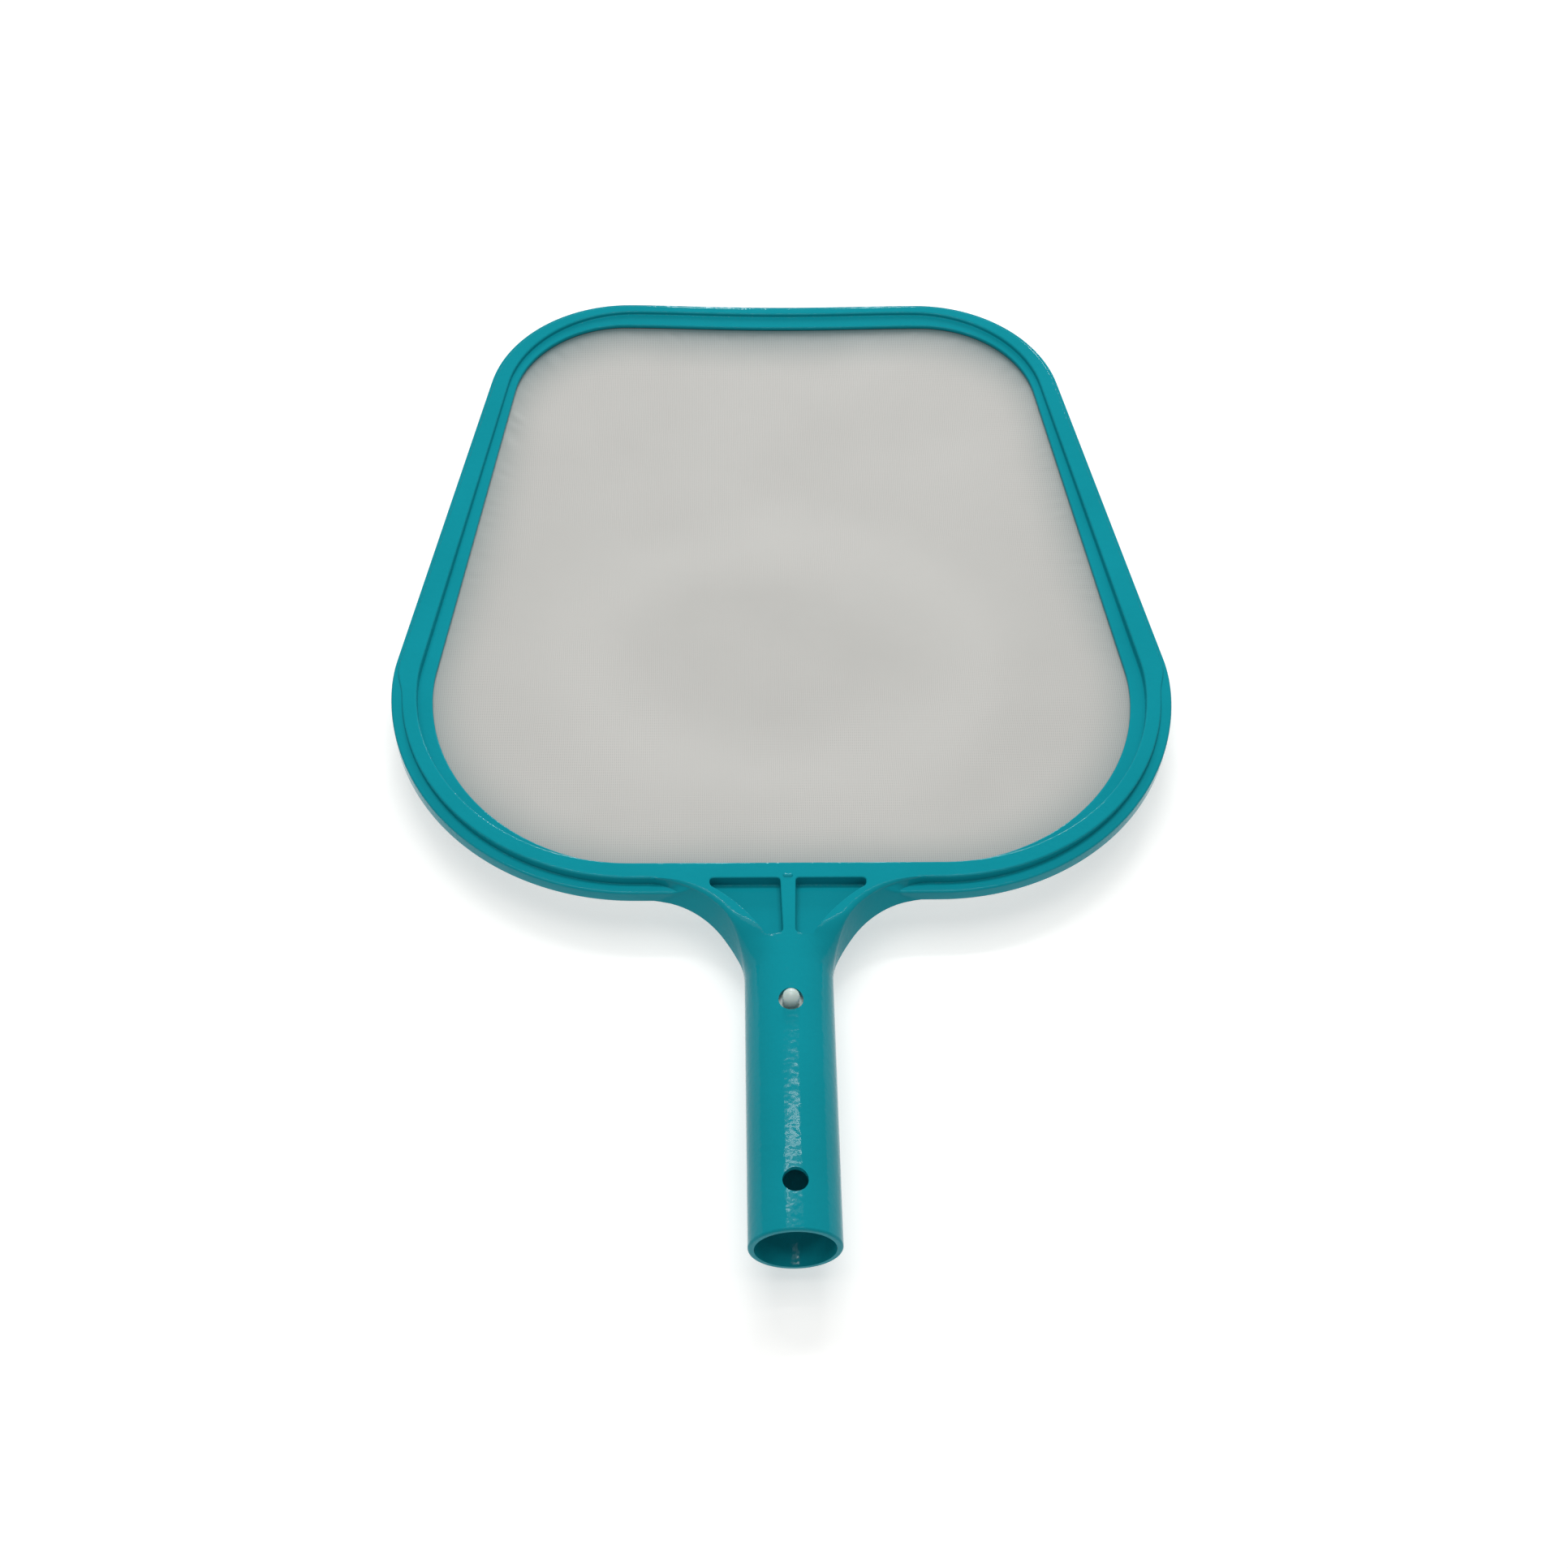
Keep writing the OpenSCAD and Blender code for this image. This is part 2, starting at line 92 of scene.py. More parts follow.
class SkimmerHoop(bpy.types.PropertyGroup):
    """Sizes of the hoop's three outlines and of its section."""

    far_y: size(397.2, "Far edge", "From the tube's open end to the hoop's far edge")
    far_bow: size(1.3, "Far bow", "How far the middle of the far edge bows in")
    hip_y: size(204, "Widest line", "From the tube's open end to the hoop's widest line")
    near_half: size(49.6, "Near half side", "Half the length of the straight near side")
    near_r: size(85, "Near corner", "Radius of the outer edge's near corners")
    hip_r: size(60, "Hip", "Radius of the turn from a near corner into a straight side")
    far_r: size(53, "Far corner", "Radius of the outer edge's far corners")
    outer_taper: lean(10, "Outer lean", "Inward lean of the outer edge's straight sides")
    ridge_taper: lean(9.2, "Ridge lean", "Inward lean of the ridge's inner edge")
    lip_taper: lean(8.3, "Lip lean", "Inward lean of the lip's inner edge")
    ledge_w: size(3.7, "Ledge width", "Width of the ledge outside the ridge")
    ridge_w: size(5, "Ridge width", "Width of the ridge round the near corners")
    near_ridge_w: size(6.1, "Near ridge width", "Width of the ridge at the near side")
    far_ridge_w: size(4.7, "Far ridge width", "Width of the ridge across the far side")
    lip_w: size(5.1, "Lip width", "Width of the lip at the widest line")
    lip_near_w: size(2.2, "Near lip width", "Width of the lip at the near side")
    lip_far_w: size(6, "Far lip width", "Width of the lip across the far side")
    ledge_drop: size(3.5, "Ledge depth", "Depth of the ledge below the ridge at the handle")
    ledge_end_y: size(212, "Ledge end", "From the tube's open end to where the ledge runs out")
    ledge_fade: size(14, "Ledge fade", "Distance over which the ledge gives way to the shoulder")
    shoulder_drop: size(0.5, "Shoulder depth", "Depth of the shoulder on the far half")
    shoulder_w: size(1.3, "Shoulder width", "Width of the shoulder on the far half")
    lip_drop: size(4.8, "Lip depth", "Depth of the lip below the ridge at the handle")
    lip_drop_far: size(1.6, "Far lip depth", "Depth of the lip below the ridge at the far edge")
    lip_t: size(1.5, "Lip thickness", "Thickness of the lip")
    rebate_h: size(2.1, "Rebate", "Depth of the clamp ring's rebate under the lip")
    edge_r: size(0.8, "Edge rounding", "Rounding of the hoop's edges")
    core_wall: size(1.6, "Core wall", "Walls beside the groove in the hoop's underside")
    core_roof: size(2, "Core roof", "Plastic left above the groove in the underside")


class SkimmerHandle(bpy.types.PropertyGroup):
    """Sizes of the handle tube and of the gusset that joins it to the hoop."""

    tube_d: size(28.5, "Tube diameter", "Outside diameter of the handle tube")
    wall: size(1.9, "Tube wall", "Wall of the handle tube")
    bore_len: size(96, "Bore length", "Length of the bore from the open end")
    end_wall: size(3, "End wall", "Thickness of the wall that closes the bore")
    hole_d: size(7.8, "Pin hole", "Diameter of the pin holes")
    spare_y: size(16, "Spare holes", "Distance of the spare holes from the open end")
    clip_y: size(77.4, "Clip holes", "Distance of the clip's holes from the open end")
    rim_r: size(0.8, "Rim", "Rounding of the open end's rim")
    mouth_edge: size(0.08, "Mouth edge", "Rounding of the bore's edge at the open end")
    neck_r: size(31, "Neck", "Radius of the neck between the tube and the hoop")
    neck_edge: size(1.4, "Neck edge", "Rounding of the gusset's top edge at the hoop")
    neck_fade: size(15, "Neck fade", "Distance over which the gusset's side walls lean out")
    corner_fade: size(19, "Corner fade", "Distance over which the gusset's corners flatten out")
    neck_sink: size(0.5, "Neck sink", "How far the gusset's underside dips into the tube")
    rib_w: size(5.1, "Rib width", "Width of the rib between the pockets at the hoop")
    rib_w_tube: size(4, "Rib width at tube", "Width of the same rib at the tube")
    pocket_d: size(4.4, "Pocket depth", "Depth of the pockets in the top")
    web_t: size(2.2, "Web", "Thickness between the top and bottom pockets")
    pocket_half: size(25.3, "Pockets' half width", "Half the width across both pockets at the hoop")
    pocket_end: size(2.7, "Pocket end", "Length of each pocket's straight outer end")
    pocket_foot: size(7.4, "Pocket foot", "Half the width across both pockets at the tube")
    pocket_start: size(5.5, "Pocket start", "Distance between the bore's end and the pockets")
    pocket_curve: size(56, "Pocket side", "Radius of each pocket's curved side")
    pocket_round: size(1.6, "Pocket corner", "Rounding of the pockets' corners")
    pocket_rim: size(0.45, "Pocket rim", "Rounding of the pockets' top edge")


class SkimmerNet(bpy.types.PropertyGroup):
    """Sizes of the net and of the ring that clamps it."""

    net_t: size(0.5, "Net slot", "Height of the net's slot between the lip and the ring")
    seat_gap: size(0.05, "Seat gap", "Gap between the net, the ring and what each lies against")
    ring_gap: size(0.15, "Side gap", "Side clearance in the rebate")
    ring_back: size(0.5, "Ring set-back", "How far the ring's inner edge stays back from the lip's")
    pitch: size(0.7, "Thread spacing", "Distance from one drawn thread to the next")
    thread_d: size(0.42, "Thread width", "Width of one drawn thread")
    sag: size(1.1, "Sag", "How far the middle of the net hangs below its edge")
    pucker: size(0.3, "Pucker", "Height of the small pleats beside the lip")
    pucker_reach: size(12, "Pucker reach", "How far the pleats run in from the lip")
    # the lighter ring is painted light: a paler tone laid on the net's colour
    ring_y: size(221, "Tight ring", "Distance from the open end to the middle of the tight ring")
    ring_half_x: size(70, "Ring half width", "Half the width of the tight ring")
    ring_half_y: size(52, "Ring half length", "Half the length of the tight ring")
    # the lip's shade is painted into the net's colour
    shade_reach: size(20, "Shade reach", "How far the lip's shade runs in over the net")


class SkimmerClip(bpy.types.PropertyGroup):
    """Sizes of the spring clip."""

    pin_d: size(5.3, "Pin diameter", "Diameter of the clip's pins")
    pin_proud: size(3.7, "Pin height", "How far each pin stands out of the tube")
    leg_w: size(9, "Leg width", "Width of the clip's legs")
    leg_t: size(2, "Leg thickness", "Thickness of the clip's strip")
    leg_len: size(37, "Leg length", "Distance along the tube from the pins to the bend's centre")
    bend_r: size(4.2, "Bend", "Mean radius of the bend")
    pad_back: size(6.5, "Pad", "Length of each leg's flat pad from its pin towards the bend")
    pad_tail: size(0.1, "Pad end", "How far the same pad's flat runs on past the side of its pin")
    pad_gap: size(0.3, "Pad gap", "Gap between each pad and the bore")
    hinge_gap: size(0.05, "Hinge gap", "Gap in each hinge line")
    edge_r: size(0.35, "Strip edge", "Rounding of the strip's edges")


class SkimmerColours(bpy.types.PropertyGroup):
    """Colours of the finishes."""

    teal: tint("#108E9C", "Teal", "Colour of the moulded polypropylene")
    teal_deep: tint("#0C8591", "Deep teal", "Colour where the pigment gathers")
    nylon: tint("#AFAEAA", "Nylon", "Colour of the net's threads")
    nylon_shade: tint("#A7A6A2", "Nylon shade", "Colour of the net's denser threads")
    # painted light: the paler tone of the net's lighter ring
    nylon_tight: tint("#BDBCB8", "Tight nylon", "Colour of the net where it is drawn tight")
    # painted shade: the net's dimmer, teal-tinted tone beside the lip
    nylon_edge: tint("#5C7172", "Nylon edge", "Colour of the net where the lip shades it")
    acetal: tint("#BFD0CC", "Acetal", "Colour of the spring clip")
    paper: tint("#D8D8D6", "Paper", "Colour of the floor")


GROUPS = {
    "skimmer_hoop": SkimmerHoop,
    "skimmer_handle": SkimmerHandle,
    "skimmer_net": SkimmerNet,
    "skimmer_clip": SkimmerClip,
    "skimmer_colours": SkimmerColours,
}


# ---------- materials ----------
NOISE_SPAN = {"From Min": 0.3, "From Max": 0.7}   # most of a noise's values lie between these
MIX_FACTOR, MIX_A, MIX_B, MIX_OUT = 0, 6, 7, 2   # sockets of a Mix node that mixes colours


def add_node(tree, kind, links=None, **settings):
    """Adds a shader node, sets its attributes and gives each input in links its value or link."""
    node = tree.nodes.new("ShaderNode" + kind)
    for key, value in settings.items():
        setattr(node, key, value)
    for key, value in (links or {}).items():
        if isinstance(value, bpy.types.NodeSocket):
            tree.links.new(value, node.inputs[key])
        else:
            node.inputs[key].default_value = value
    return node


def new_material(name):
    """An empty node material, its tree and the socket that gives places on the object."""
    made = bpy.data.materials.new(name)
    made.use_nodes = True
    made.node_tree.nodes.clear()
    return made, made.node_tree, add_node(made.node_tree, "TexCoord").outputs["Object"]


def rgba(colour, share=1.0):
    """The colour times share, with full alpha."""
    return (*(share * c for c in colour), 1.0)


def moulded_polypropylene(scene):
    """Injection-moulded polypropylene: a polished skin with a faint orange peel over a deep
    colour, so that highlights are narrow with slightly broken edges."""
    colours = scene.skimmer_colours
    made, tree, place = new_material("moulded_polypropylene")
    # the pigment is a few per cent deeper in soft patches of about 30 mm
    drift = add_node(tree, "TexNoise", {"Vector": place, "Scale": 1 / (30 * MM), "Detail": 3.0})
    colour = add_node(
        tree, "Mix",
        {MIX_FACTOR: drift.outputs["Fac"], MIX_A: rgba(colours.teal), MIX_B: rgba(colours.teal_deep)},
        data_type="RGBA",
    )
    # the mould's polish varies over about 8 mm
    polish = add_node(tree, "TexNoise", {"Vector": place, "Scale": 1 / (8 * MM), "Detail": 2.0})
    rough = add_node(
        tree, "MapRange",
        {**NOISE_SPAN, "Value": polish.outputs["Fac"], "To Min": 0.06, "To Max": 0.09},
    )
    # an orange peel of about 2.3 mm, with a grit of about 0.3 mm over it
    peel, grit = (
        add_node(tree, "TexNoise", {"Vector": place, "Scale": 1 / width, "Detail": 1.0})
        for width in (2.3 * MM, 0.3 * MM)
    )
    skin = add_node(
        tree, "Bump",
        {"Height": peel.outputs["Fac"], "Strength": 1.0, "Distance": 0.09 * MM},
    )
    skin = add_node(
        tree, "Bump",
        {
            "Height": grit.outputs["Fac"], "Normal": skin.outputs["Normal"],
            "Strength": 0.1, "Distance": 0.004 * MM,
        },
    )
    shader = add_node(
        tree, "BsdfPrincipled",
        {
            "Base Color": colour.outputs[MIX_OUT], "Roughness": rough.outputs["Result"], "IOR": 1.49,
            "Specular IOR Level": 0.07, "Normal": skin.outputs["Normal"],
        },
    )
    add_node(tree, "OutputMaterial", {"Surface": shader.outputs["BSDF"]})
    return made


def woven_nylon(scene):
    """Plain-woven nylon monofilament: fine crossing threads that let a little of the floor
    through, so that it reads as a pale even veil, with painted shade where it runs in under
    the lip and painted light in a soft ring about its middle."""
    colours, net = scene.skimmer_colours, scene.skimmer_net
    made, tree, place = new_material("woven_nylon")
    # the threads wander by a share of their spacing over about 20 mm
    warp = add_node(tree, "TexNoise", {"Vector": place, "Scale": 1 / (20 * MM), "Detail": 2.0})
    shift = add_node(
        tree, "VectorMath",
        {0: warp.outputs["Color"], 1: (0.5, 0.5, 0.5)}, operation="SUBTRACT",
    )
    moved = add_node(
        tree, "VectorMath",
        {0: shift.outputs["Vector"], 1: (2.0 * net.pitch, 2.0 * net.pitch, 0.0), 2: place},
        operation="MULTIPLY_ADD",
    )
    axes = add_node(tree, "SeparateXYZ", {"Vector": moved.outputs["Vector"]})
    # the real threads lie about 0.3 mm apart, too fine to show, so they are drawn at the net's pitch
    soft = 0.08 * MM   # half the width of a drawn thread's soft edge
    threads = []
    for axis in ("X", "Y"):
        across = add_node(
            tree, "Math", {0: axes.outputs[axis], 1: net.pitch / 2}, operation="PINGPONG"
        )
        threads.append(
            add_node(
                tree, "MapRange",
                {
                    "Value": across.outputs["Value"],
                    "From Min": net.thread_d / 2 + soft, "From Max": net.thread_d / 2 - soft,
                },
            ).outputs["Result"]
        )
    weave = add_node(tree, "Math", {0: threads[0], 1: threads[1]}, operation="MAXIMUM")
    # one drawn opening stands for several real ones with threads between them, so it isn't quite clear
    cover = add_node(
        tree, "MapRange", {"Value": weave.outputs["Value"], "To Min": 0.62, "To Max": 0.97}
    )
    # the cloth is a little denser in soft streaks of about 40 mm
    streak = add_node(
        tree, "TexNoise",
        {"Vector": place, "Scale": 1 / (40 * MM), "Detail": 4.0, "Roughness": 0.6},
    )
    colour = add_node(
        tree, "Mix",
        {
            MIX_FACTOR: streak.outputs["Fac"],
            MIX_A: rgba(colours.nylon), MIX_B: rgba(colours.nylon_shade),
        },
        data_type="RGBA",
    )
    # painted light pales a soft ring about its middle, and painted shade, tinted teal by the lip,
    # darkens it beside the lip's edge
    for name, tone in (("painted_light_ring", colours.nylon_tight), ("painted_lip_shade", colours.nylon_edge)):
        share = add_node(tree, "Attribute", attribute_name=name).outputs["Fac"]
        colour = add_node(
            tree, "Mix",
            {MIX_FACTOR: share, MIX_A: colour.outputs[MIX_OUT], MIX_B: rgba(tone)},
            data_type="RGBA",
        )
    rough = add_node(
        tree, "MapRange",
        {**NOISE_SPAN, "Value": streak.outputs["Fac"], "To Min": 0.5, "To Max": 0.62},
    )
    raised = add_node(
        tree, "Bump",
        {"Height": weave.outputs["Value"], "Strength": 0.15, "Distance": 0.06 * MM},
    )
    shader = add_node(
        tree, "BsdfPrincipled",
        {
            "Base Color": colour.outputs[MIX_OUT], "Roughness": rough.outputs["Result"], "IOR": 1.53,
            "Sheen Weight": 0.1, "Sheen Roughness": 0.4, "Alpha": cover.outputs["Result"],
            "Normal": raised.outputs["Normal"],
        },
    )
    add_node(tree, "OutputMaterial", {"Surface": shader.outputs["BSDF"]})
    return made


def moulded_acetal(scene):
    """Injection-moulded acetal: a dense white plastic with a waxy, slightly soft gloss."""
    acetal = scene.skimmer_colours.acetal
    made, tree, place = new_material("moulded_acetal")
    # the surface clouds a little over about 5 mm
    cloud = add_node(tree, "TexNoise", {"Vector": place, "Scale": 1 / (5 * MM), "Detail": 2.0})
    colour = add_node(
        tree, "Mix",
        {MIX_FACTOR: cloud.outputs["Fac"], MIX_A: rgba(acetal), MIX_B: rgba(acetal, 0.93)},
        data_type="RGBA",
    )
    rough = add_node(
        tree, "MapRange",
        {**NOISE_SPAN, "Value": cloud.outputs["Fac"], "To Min": 0.3, "To Max": 0.4},
    )
    shader = add_node(
        tree, "BsdfPrincipled",
        {
            "Base Color": colour.outputs[MIX_OUT], "Roughness": rough.outputs["Result"], "IOR": 1.48,
            "Subsurface Weight": 0.15, "Subsurface Scale": 1.5 * MM,
        },
    )
    add_node(tree, "OutputMaterial", {"Surface": shader.outputs["BSDF"]})
    return made


def matt_paper(scene):
    """Coated studio paper: matt and pale, with a faint fibre that breaks up the light."""
    paper = scene.skimmer_colours.paper
    made, tree, place = new_material("matt_paper")
    # fibres gather in flecks of about 12 mm
    fibre = add_node(tree, "TexNoise", {"Vector": place, "Scale": 1 / (12 * MM), "Detail": 3.0})
    colour = add_node(
        tree, "Mix",
        {MIX_FACTOR: fibre.outputs["Fac"], MIX_A: rgba(paper), MIX_B: rgba(paper, 0.985)},
        data_type="RGBA",
    )
    shader = add_node(
        tree, "BsdfPrincipled",
        {
            "Base Color": colour.outputs[MIX_OUT], "Roughness": 0.9,
            "IOR": 1.45, "Specular IOR Level": 0.1,
            "Emission Color": (1.0, 1.0, 1.0, 1.0), "Emission Strength": 0.5,
        },
    )
    add_node(tree, "OutputMaterial", {"Surface": shader.outputs["BSDF"]})
    return made


def finish(maker, scene):
    """The maker's material, which has the maker's name and is made when it is first asked for."""
    return bpy.data.materials.get(maker.__name__) or maker(scene)


# ---------- mesh tools ----------
TUBE_STEPS = 128
AXIS = 0.02 * MM   # the radius at which a turned profile meets its axis
WELD = 0.002 * MM   # points closer than this become one
MOST_CUT = 0.45   # a rounding takes no more than this share of a side


def polar(r, a):
    """The flat point at distance r and angle a."""
    return Vector((r * cos(a), r * sin(a)))


def quarter(x, y, r, start, steps=8):
    """A quarter circle of radius r about (x, y), anticlockwise from the angle start."""
    turns = [start + pi / 2 * j / steps for j in range(steps + 1)]
    return [(x + r * cos(a), y + r * sin(a)) for a in turns]


def ramp(t):
    """Rises smoothly from 0 to 1 while t does."""
    c = max(0.0, min(1.0, t))
    return c * c * (3 - 2 * c)


def eased_corner(before, point, after, cut, steps):
    """Points of a rounded corner that starts cut before the point and ends cut after it."""
    a, b = before - point, after - point
    a *= min(cut / a.length, MOST_CUT)
    b *= min(cut / b.length, MOST_CUT)
    spots = [i / steps for i in range(steps + 1)]
    return [point + a * (1 - t) ** 2 + b * t ** 2 for t in spots]


def rounded(corners, cuts):
    """The closed line through corners, each rounded by its (cut, steps) or kept where that is None."""
    line = []
    for j, (point, cut) in enumerate(zip(corners, cuts)):
        if cut is None:
            line.append(point)
        else:
            line += eased_corner(corners[j - 1], point, corners[(j + 1) % len(corners)], *cut)
    return line


def band_faces(m, n, closed=False):
    """Four-sided faces between n rings of m points, and from the last to the first if closed."""
    return [
        (k * m + j, k * m + (j + 1) % m, (k + 1) % n * m + (j + 1) % m, (k + 1) % n * m + j)
        for k in range(n if closed else n - 1)
        for j in range(m)
    ]


def lofted(name, rings, closed=False):
    """A mesh object through rings of as many points each: an endless loop, or capped at both ends."""
    m, n = len(rings[0]), len(rings)
    faces = band_faces(m, n, closed)
    if not closed:
        faces += [tuple(range(m))[::-1], tuple(range((n - 1) * m, n * m))]
    mesh = bpy.data.meshes.new(name)
    mesh.from_pydata([p for ring in rings for p in ring], [], faces)
    bm = bmesh.new()
    bm.from_mesh(mesh)
    bmesh.ops.recalc_face_normals(bm, faces=bm.faces)
    bm.to_mesh(mesh)
    bm.free()
    made = bpy.data.objects.new(name, mesh)
    bpy.context.scene.collection.objects.link(made)
    return made


def turned(name, profile, axis, centre=(0, 0, 0), steps=TUBE_STEPS):
    """A solid of revolution: profile is a list of (radius, distance along axis), ends on the axis."""
    turn = {"Y": Matrix.Rotation(radians(-90), 4, "X"), "Z": Matrix.Identity(4)}[axis]
    place = Matrix.Translation(centre) @ turn
    rings = [
        [place @ Vector((*polar(r, 2 * pi * j / steps), h)) for j in range(steps)] for r, h in profile
    ]
    return lofted(name, rings)


def cut_or_join(target, tool, operation):
    """Joins the tool to the target or cuts it away, and removes the tool."""
    step = target.modifiers.new("step", "BOOLEAN")
    step.solver = "MANIFOLD"
    step.operation = operation
    step.object = tool
    graph = bpy.context.evaluated_depsgraph_get()
    result = bpy.data.meshes.new_from_object(target.evaluated_get(graph))
    if not result.polygons:
        raise RuntimeError(f"{operation} with {tool.name} left nothing of {target.name}")
    target.modifiers.clear()
    old = target.data
    target.data = result
    bpy.data.meshes.remove(old)
    bpy.data.objects.remove(tool)


def smooth(piece, angle=35):
    """Smooth shading that keeps edges sharper than angle and lets flat faces rule the normals."""
    bm = bmesh.new()
    bm.from_mesh(piece.data)
    bmesh.ops.remove_doubles(bm, verts=bm.verts, dist=WELD)
    bmesh.ops.dissolve_degenerate(bm, edges=bm.edges, dist=WELD)
    bm.to_mesh(piece.data)
    bm.free()
    piece.data.shade_smooth()
    piece.data.set_sharp_from_angle(angle=radians(angle))
    weigh = piece.modifiers.new("flat_faces_first", "WEIGHTED_NORMAL")
    weigh.keep_sharp = True
    weigh.weight = 60


def dress(piece, material, slot, *nodes):
    """Gives a piece its finish and hides the nodes it stands for; slot is not used."""
    piece.data.materials.clear()
    piece.data.materials.append(material)
    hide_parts(*nodes)


# ---------- hoop ----------
NEAR_STEPS, HIP_STEPS, FAR_STEPS = 60, 6, 32
# where the outlines have points, as shares of a straight side's length, of the near side's
# half length and of the far side's
SIDE_SPOTS = (0.02, 0.045, 0.07, 0.095, 0.12, 0.16, 0.22, 0.3, 0.4, 0.5, 0.6, 0.7, 0.8, 0.9)
END_SPOTS = (0.15, 0.45, 0.75)
BOW_SPOTS = (0.05, 0.15, 0.25, 0.35, 0.45, 0.55, 0.65, 0.75, 0.85, 0.95)
DRAFT = 0.1 * MM   # how far each wall of the underside's groove leans in over its height


def arc(centre, r, a0, a1, steps):
    """Points of an arc from the angle a0 to a1."""
    return [centre + polar(r, a0 + (a1 - a0) * i / steps) for i in range(steps + 1)]


def outline(hoop, hip_x, near_r, taper, far_y, far_r):
    """A closed hoop outline with a straight near side, two near corners, leaning sides and
    two far corners.  hip_x is half its width and far_y its far edge."""
    near_c = Vector((hip_x - near_r, hoop.hip_y))
    hip_c = Vector((hip_x - hoop.hip_r, hoop.hip_y))
    reach = hip_c.dot(polar(1, taper)) + hoop.hip_r
    far_c = Vector(((reach - far_r - (far_y - far_r) * sin(taper)) / cos(taper), far_y - far_r))
    side_a = hip_c + polar(hoop.hip_r, taper)
    side_b = far_c + polar(far_r, taper)
    half = [Vector((near_c.x * s, hoop.hip_y - near_r)) for s in END_SPOTS]
    half += arc(near_c, near_r, -pi / 2, 0, NEAR_STEPS)
    half += arc(hip_c, hoop.hip_r, 0, taper, HIP_STEPS)[1:]
    half += [side_a.lerp(side_b, s) for s in SIDE_SPOTS]
    half += arc(far_c, far_r, taper, pi / 2, FAR_STEPS)
    bow = [(s, hoop.far_bow * (1 - s * s) ** 2) for s in reversed(BOW_SPOTS)]
    half += [Vector((far_c.x * s, far_y - dip)) for s, dip in bow]
    return half + [Vector((-p.x, p.y)) for p in reversed(half)]


def outer_line(hoop):
    """The hoop's outer edge."""
    hip_x = hoop.near_half + hoop.near_r
    return outline(hoop, hip_x, hoop.near_r, hoop.outer_taper, hoop.far_y, hoop.far_r)


def ridge_line(hoop, g=0.0):
    """The ridge's inner edge, g inside it."""
    r = hoop.near_r - hoop.ledge_w - hoop.near_ridge_w
    x = hoop.near_half + hoop.near_r - hoop.ledge_w - hoop.ridge_w
    w = hoop.far_ridge_w + g
    return outline(hoop, x - g, r - g, hoop.ridge_taper, hoop.far_y - w, hoop.far_r - w)


def lip_line(hoop, g=0.0):
    """The lip's inner edge, g outside it."""
    r = hoop.near_r - hoop.ledge_w - hoop.near_ridge_w - hoop.lip_near_w
    x = hoop.near_half + hoop.near_r - hoop.ledge_w - hoop.ridge_w - hoop.lip_w
    w = hoop.far_ridge_w + hoop.lip_far_w - g
    return outline(hoop, x + g, r + g, hoop.lip_taper, hoop.far_y - w, hoop.far_r - w)


def near_y(hoop):
    """Where the hoop's outer near edge lies."""
    return hoop.hip_y - hoop.near_r


def lip_slope(hoop):
    """How steeply the lip climbs towards the far edge."""
    return (hoop.lip_drop - hoop.lip_drop_far) / (hoop.far_y - hoop.far_ridge_w - near_y(hoop))


def lip_depth(hoop, y):
    """How far the lip lies below the ridge."""
    return hoop.lip_drop - lip_slope(hoop) * (y - near_y(hoop))


def ledge_depth(hoop, y):
    """How far the ledge, or the shoulder that takes over from it, lies below the ridge."""
    share = (hoop.ledge_end_y - y) / (hoop.ledge_end_y - near_y(hoop))
    return max(hoop.shoulder_drop, hoop.ledge_drop * share)


def ledge_width(hoop, y):
    """How wide the ledge is, or the shoulder that takes over from it."""
    share = ramp((y - hoop.ledge_end_y) / hoop.ledge_fade + 1)
    return hoop.ledge_w + (hoop.shoulder_w - hoop.ledge_w) * share


def hoop_section(hoop, top_z, outer, ridge, lip):
    """The hoop's section between one point on each outline, with its corners rounded."""
    to_ridge = (ridge - outer).length
    to_lip = to_ridge + (lip - ridge).length
    ledge, drop = ledge_width(hoop, outer.y), ledge_depth(hoop, outer.y)
    base, roof = hoop.lip_t + hoop.rebate_h, drop + hoop.core_roof
    wall, e = hoop.core_wall, hoop.edge_r
    # distance in from the outer edge, depth, 1 where depth is counted from the lip's plane,
    # then how far the rounding cuts back and its steps
    corners = [
        (0, base, 1, (e, 3)),
        (0, drop, 0, (e, 6)),
        (ledge, drop, 0, (0.3 * e, 3)),
        (ledge + 0.15 * e, 0, 0, (0.85 * e, 6)),
        (to_ridge, 0, 0, (1.1 * e, 7)),
        (to_ridge, 0, 1, (0.5 * e, 4)),
        (to_lip, 0, 1, (0.95 * e, 6)),
        (to_lip, hoop.lip_t, 1, (0.2 * e, 2)),
        (to_ridge, hoop.lip_t, 1, None),
        (to_ridge, base, 1, (0.3 * e, 2)),
        (to_ridge - wall, base, 1, (0.3 * e, 2)),
        (to_ridge - wall - DRAFT, roof, 0, (0.5 * e, 2)),
        (wall + DRAFT, roof, 0, (0.5 * e, 2)),
        (wall, base, 1, (0.3 * e, 2)),
    ]
    points = []
    for s, depth, on_lip, _ in corners:
        if s < to_ridge:
            p = outer.lerp(ridge, s / to_ridge)
        else:
            p = ridge.lerp(lip, (s - to_ridge) / (to_lip - to_ridge))
        points.append(Vector((p.x, p.y, top_z - depth - on_lip * lip_depth(hoop, p.y))))
    return rounded(points, [c[3] for c in corners])


def hoop_solid(hoop, top_z):
    """The hoop, lofted through its section at each step of the three outlines."""
    lines = zip(outer_line(hoop), ridge_line(hoop), lip_line(hoop))
    return lofted("hoop", [hoop_section(hoop, top_z, *spots) for spots in lines], closed=True)


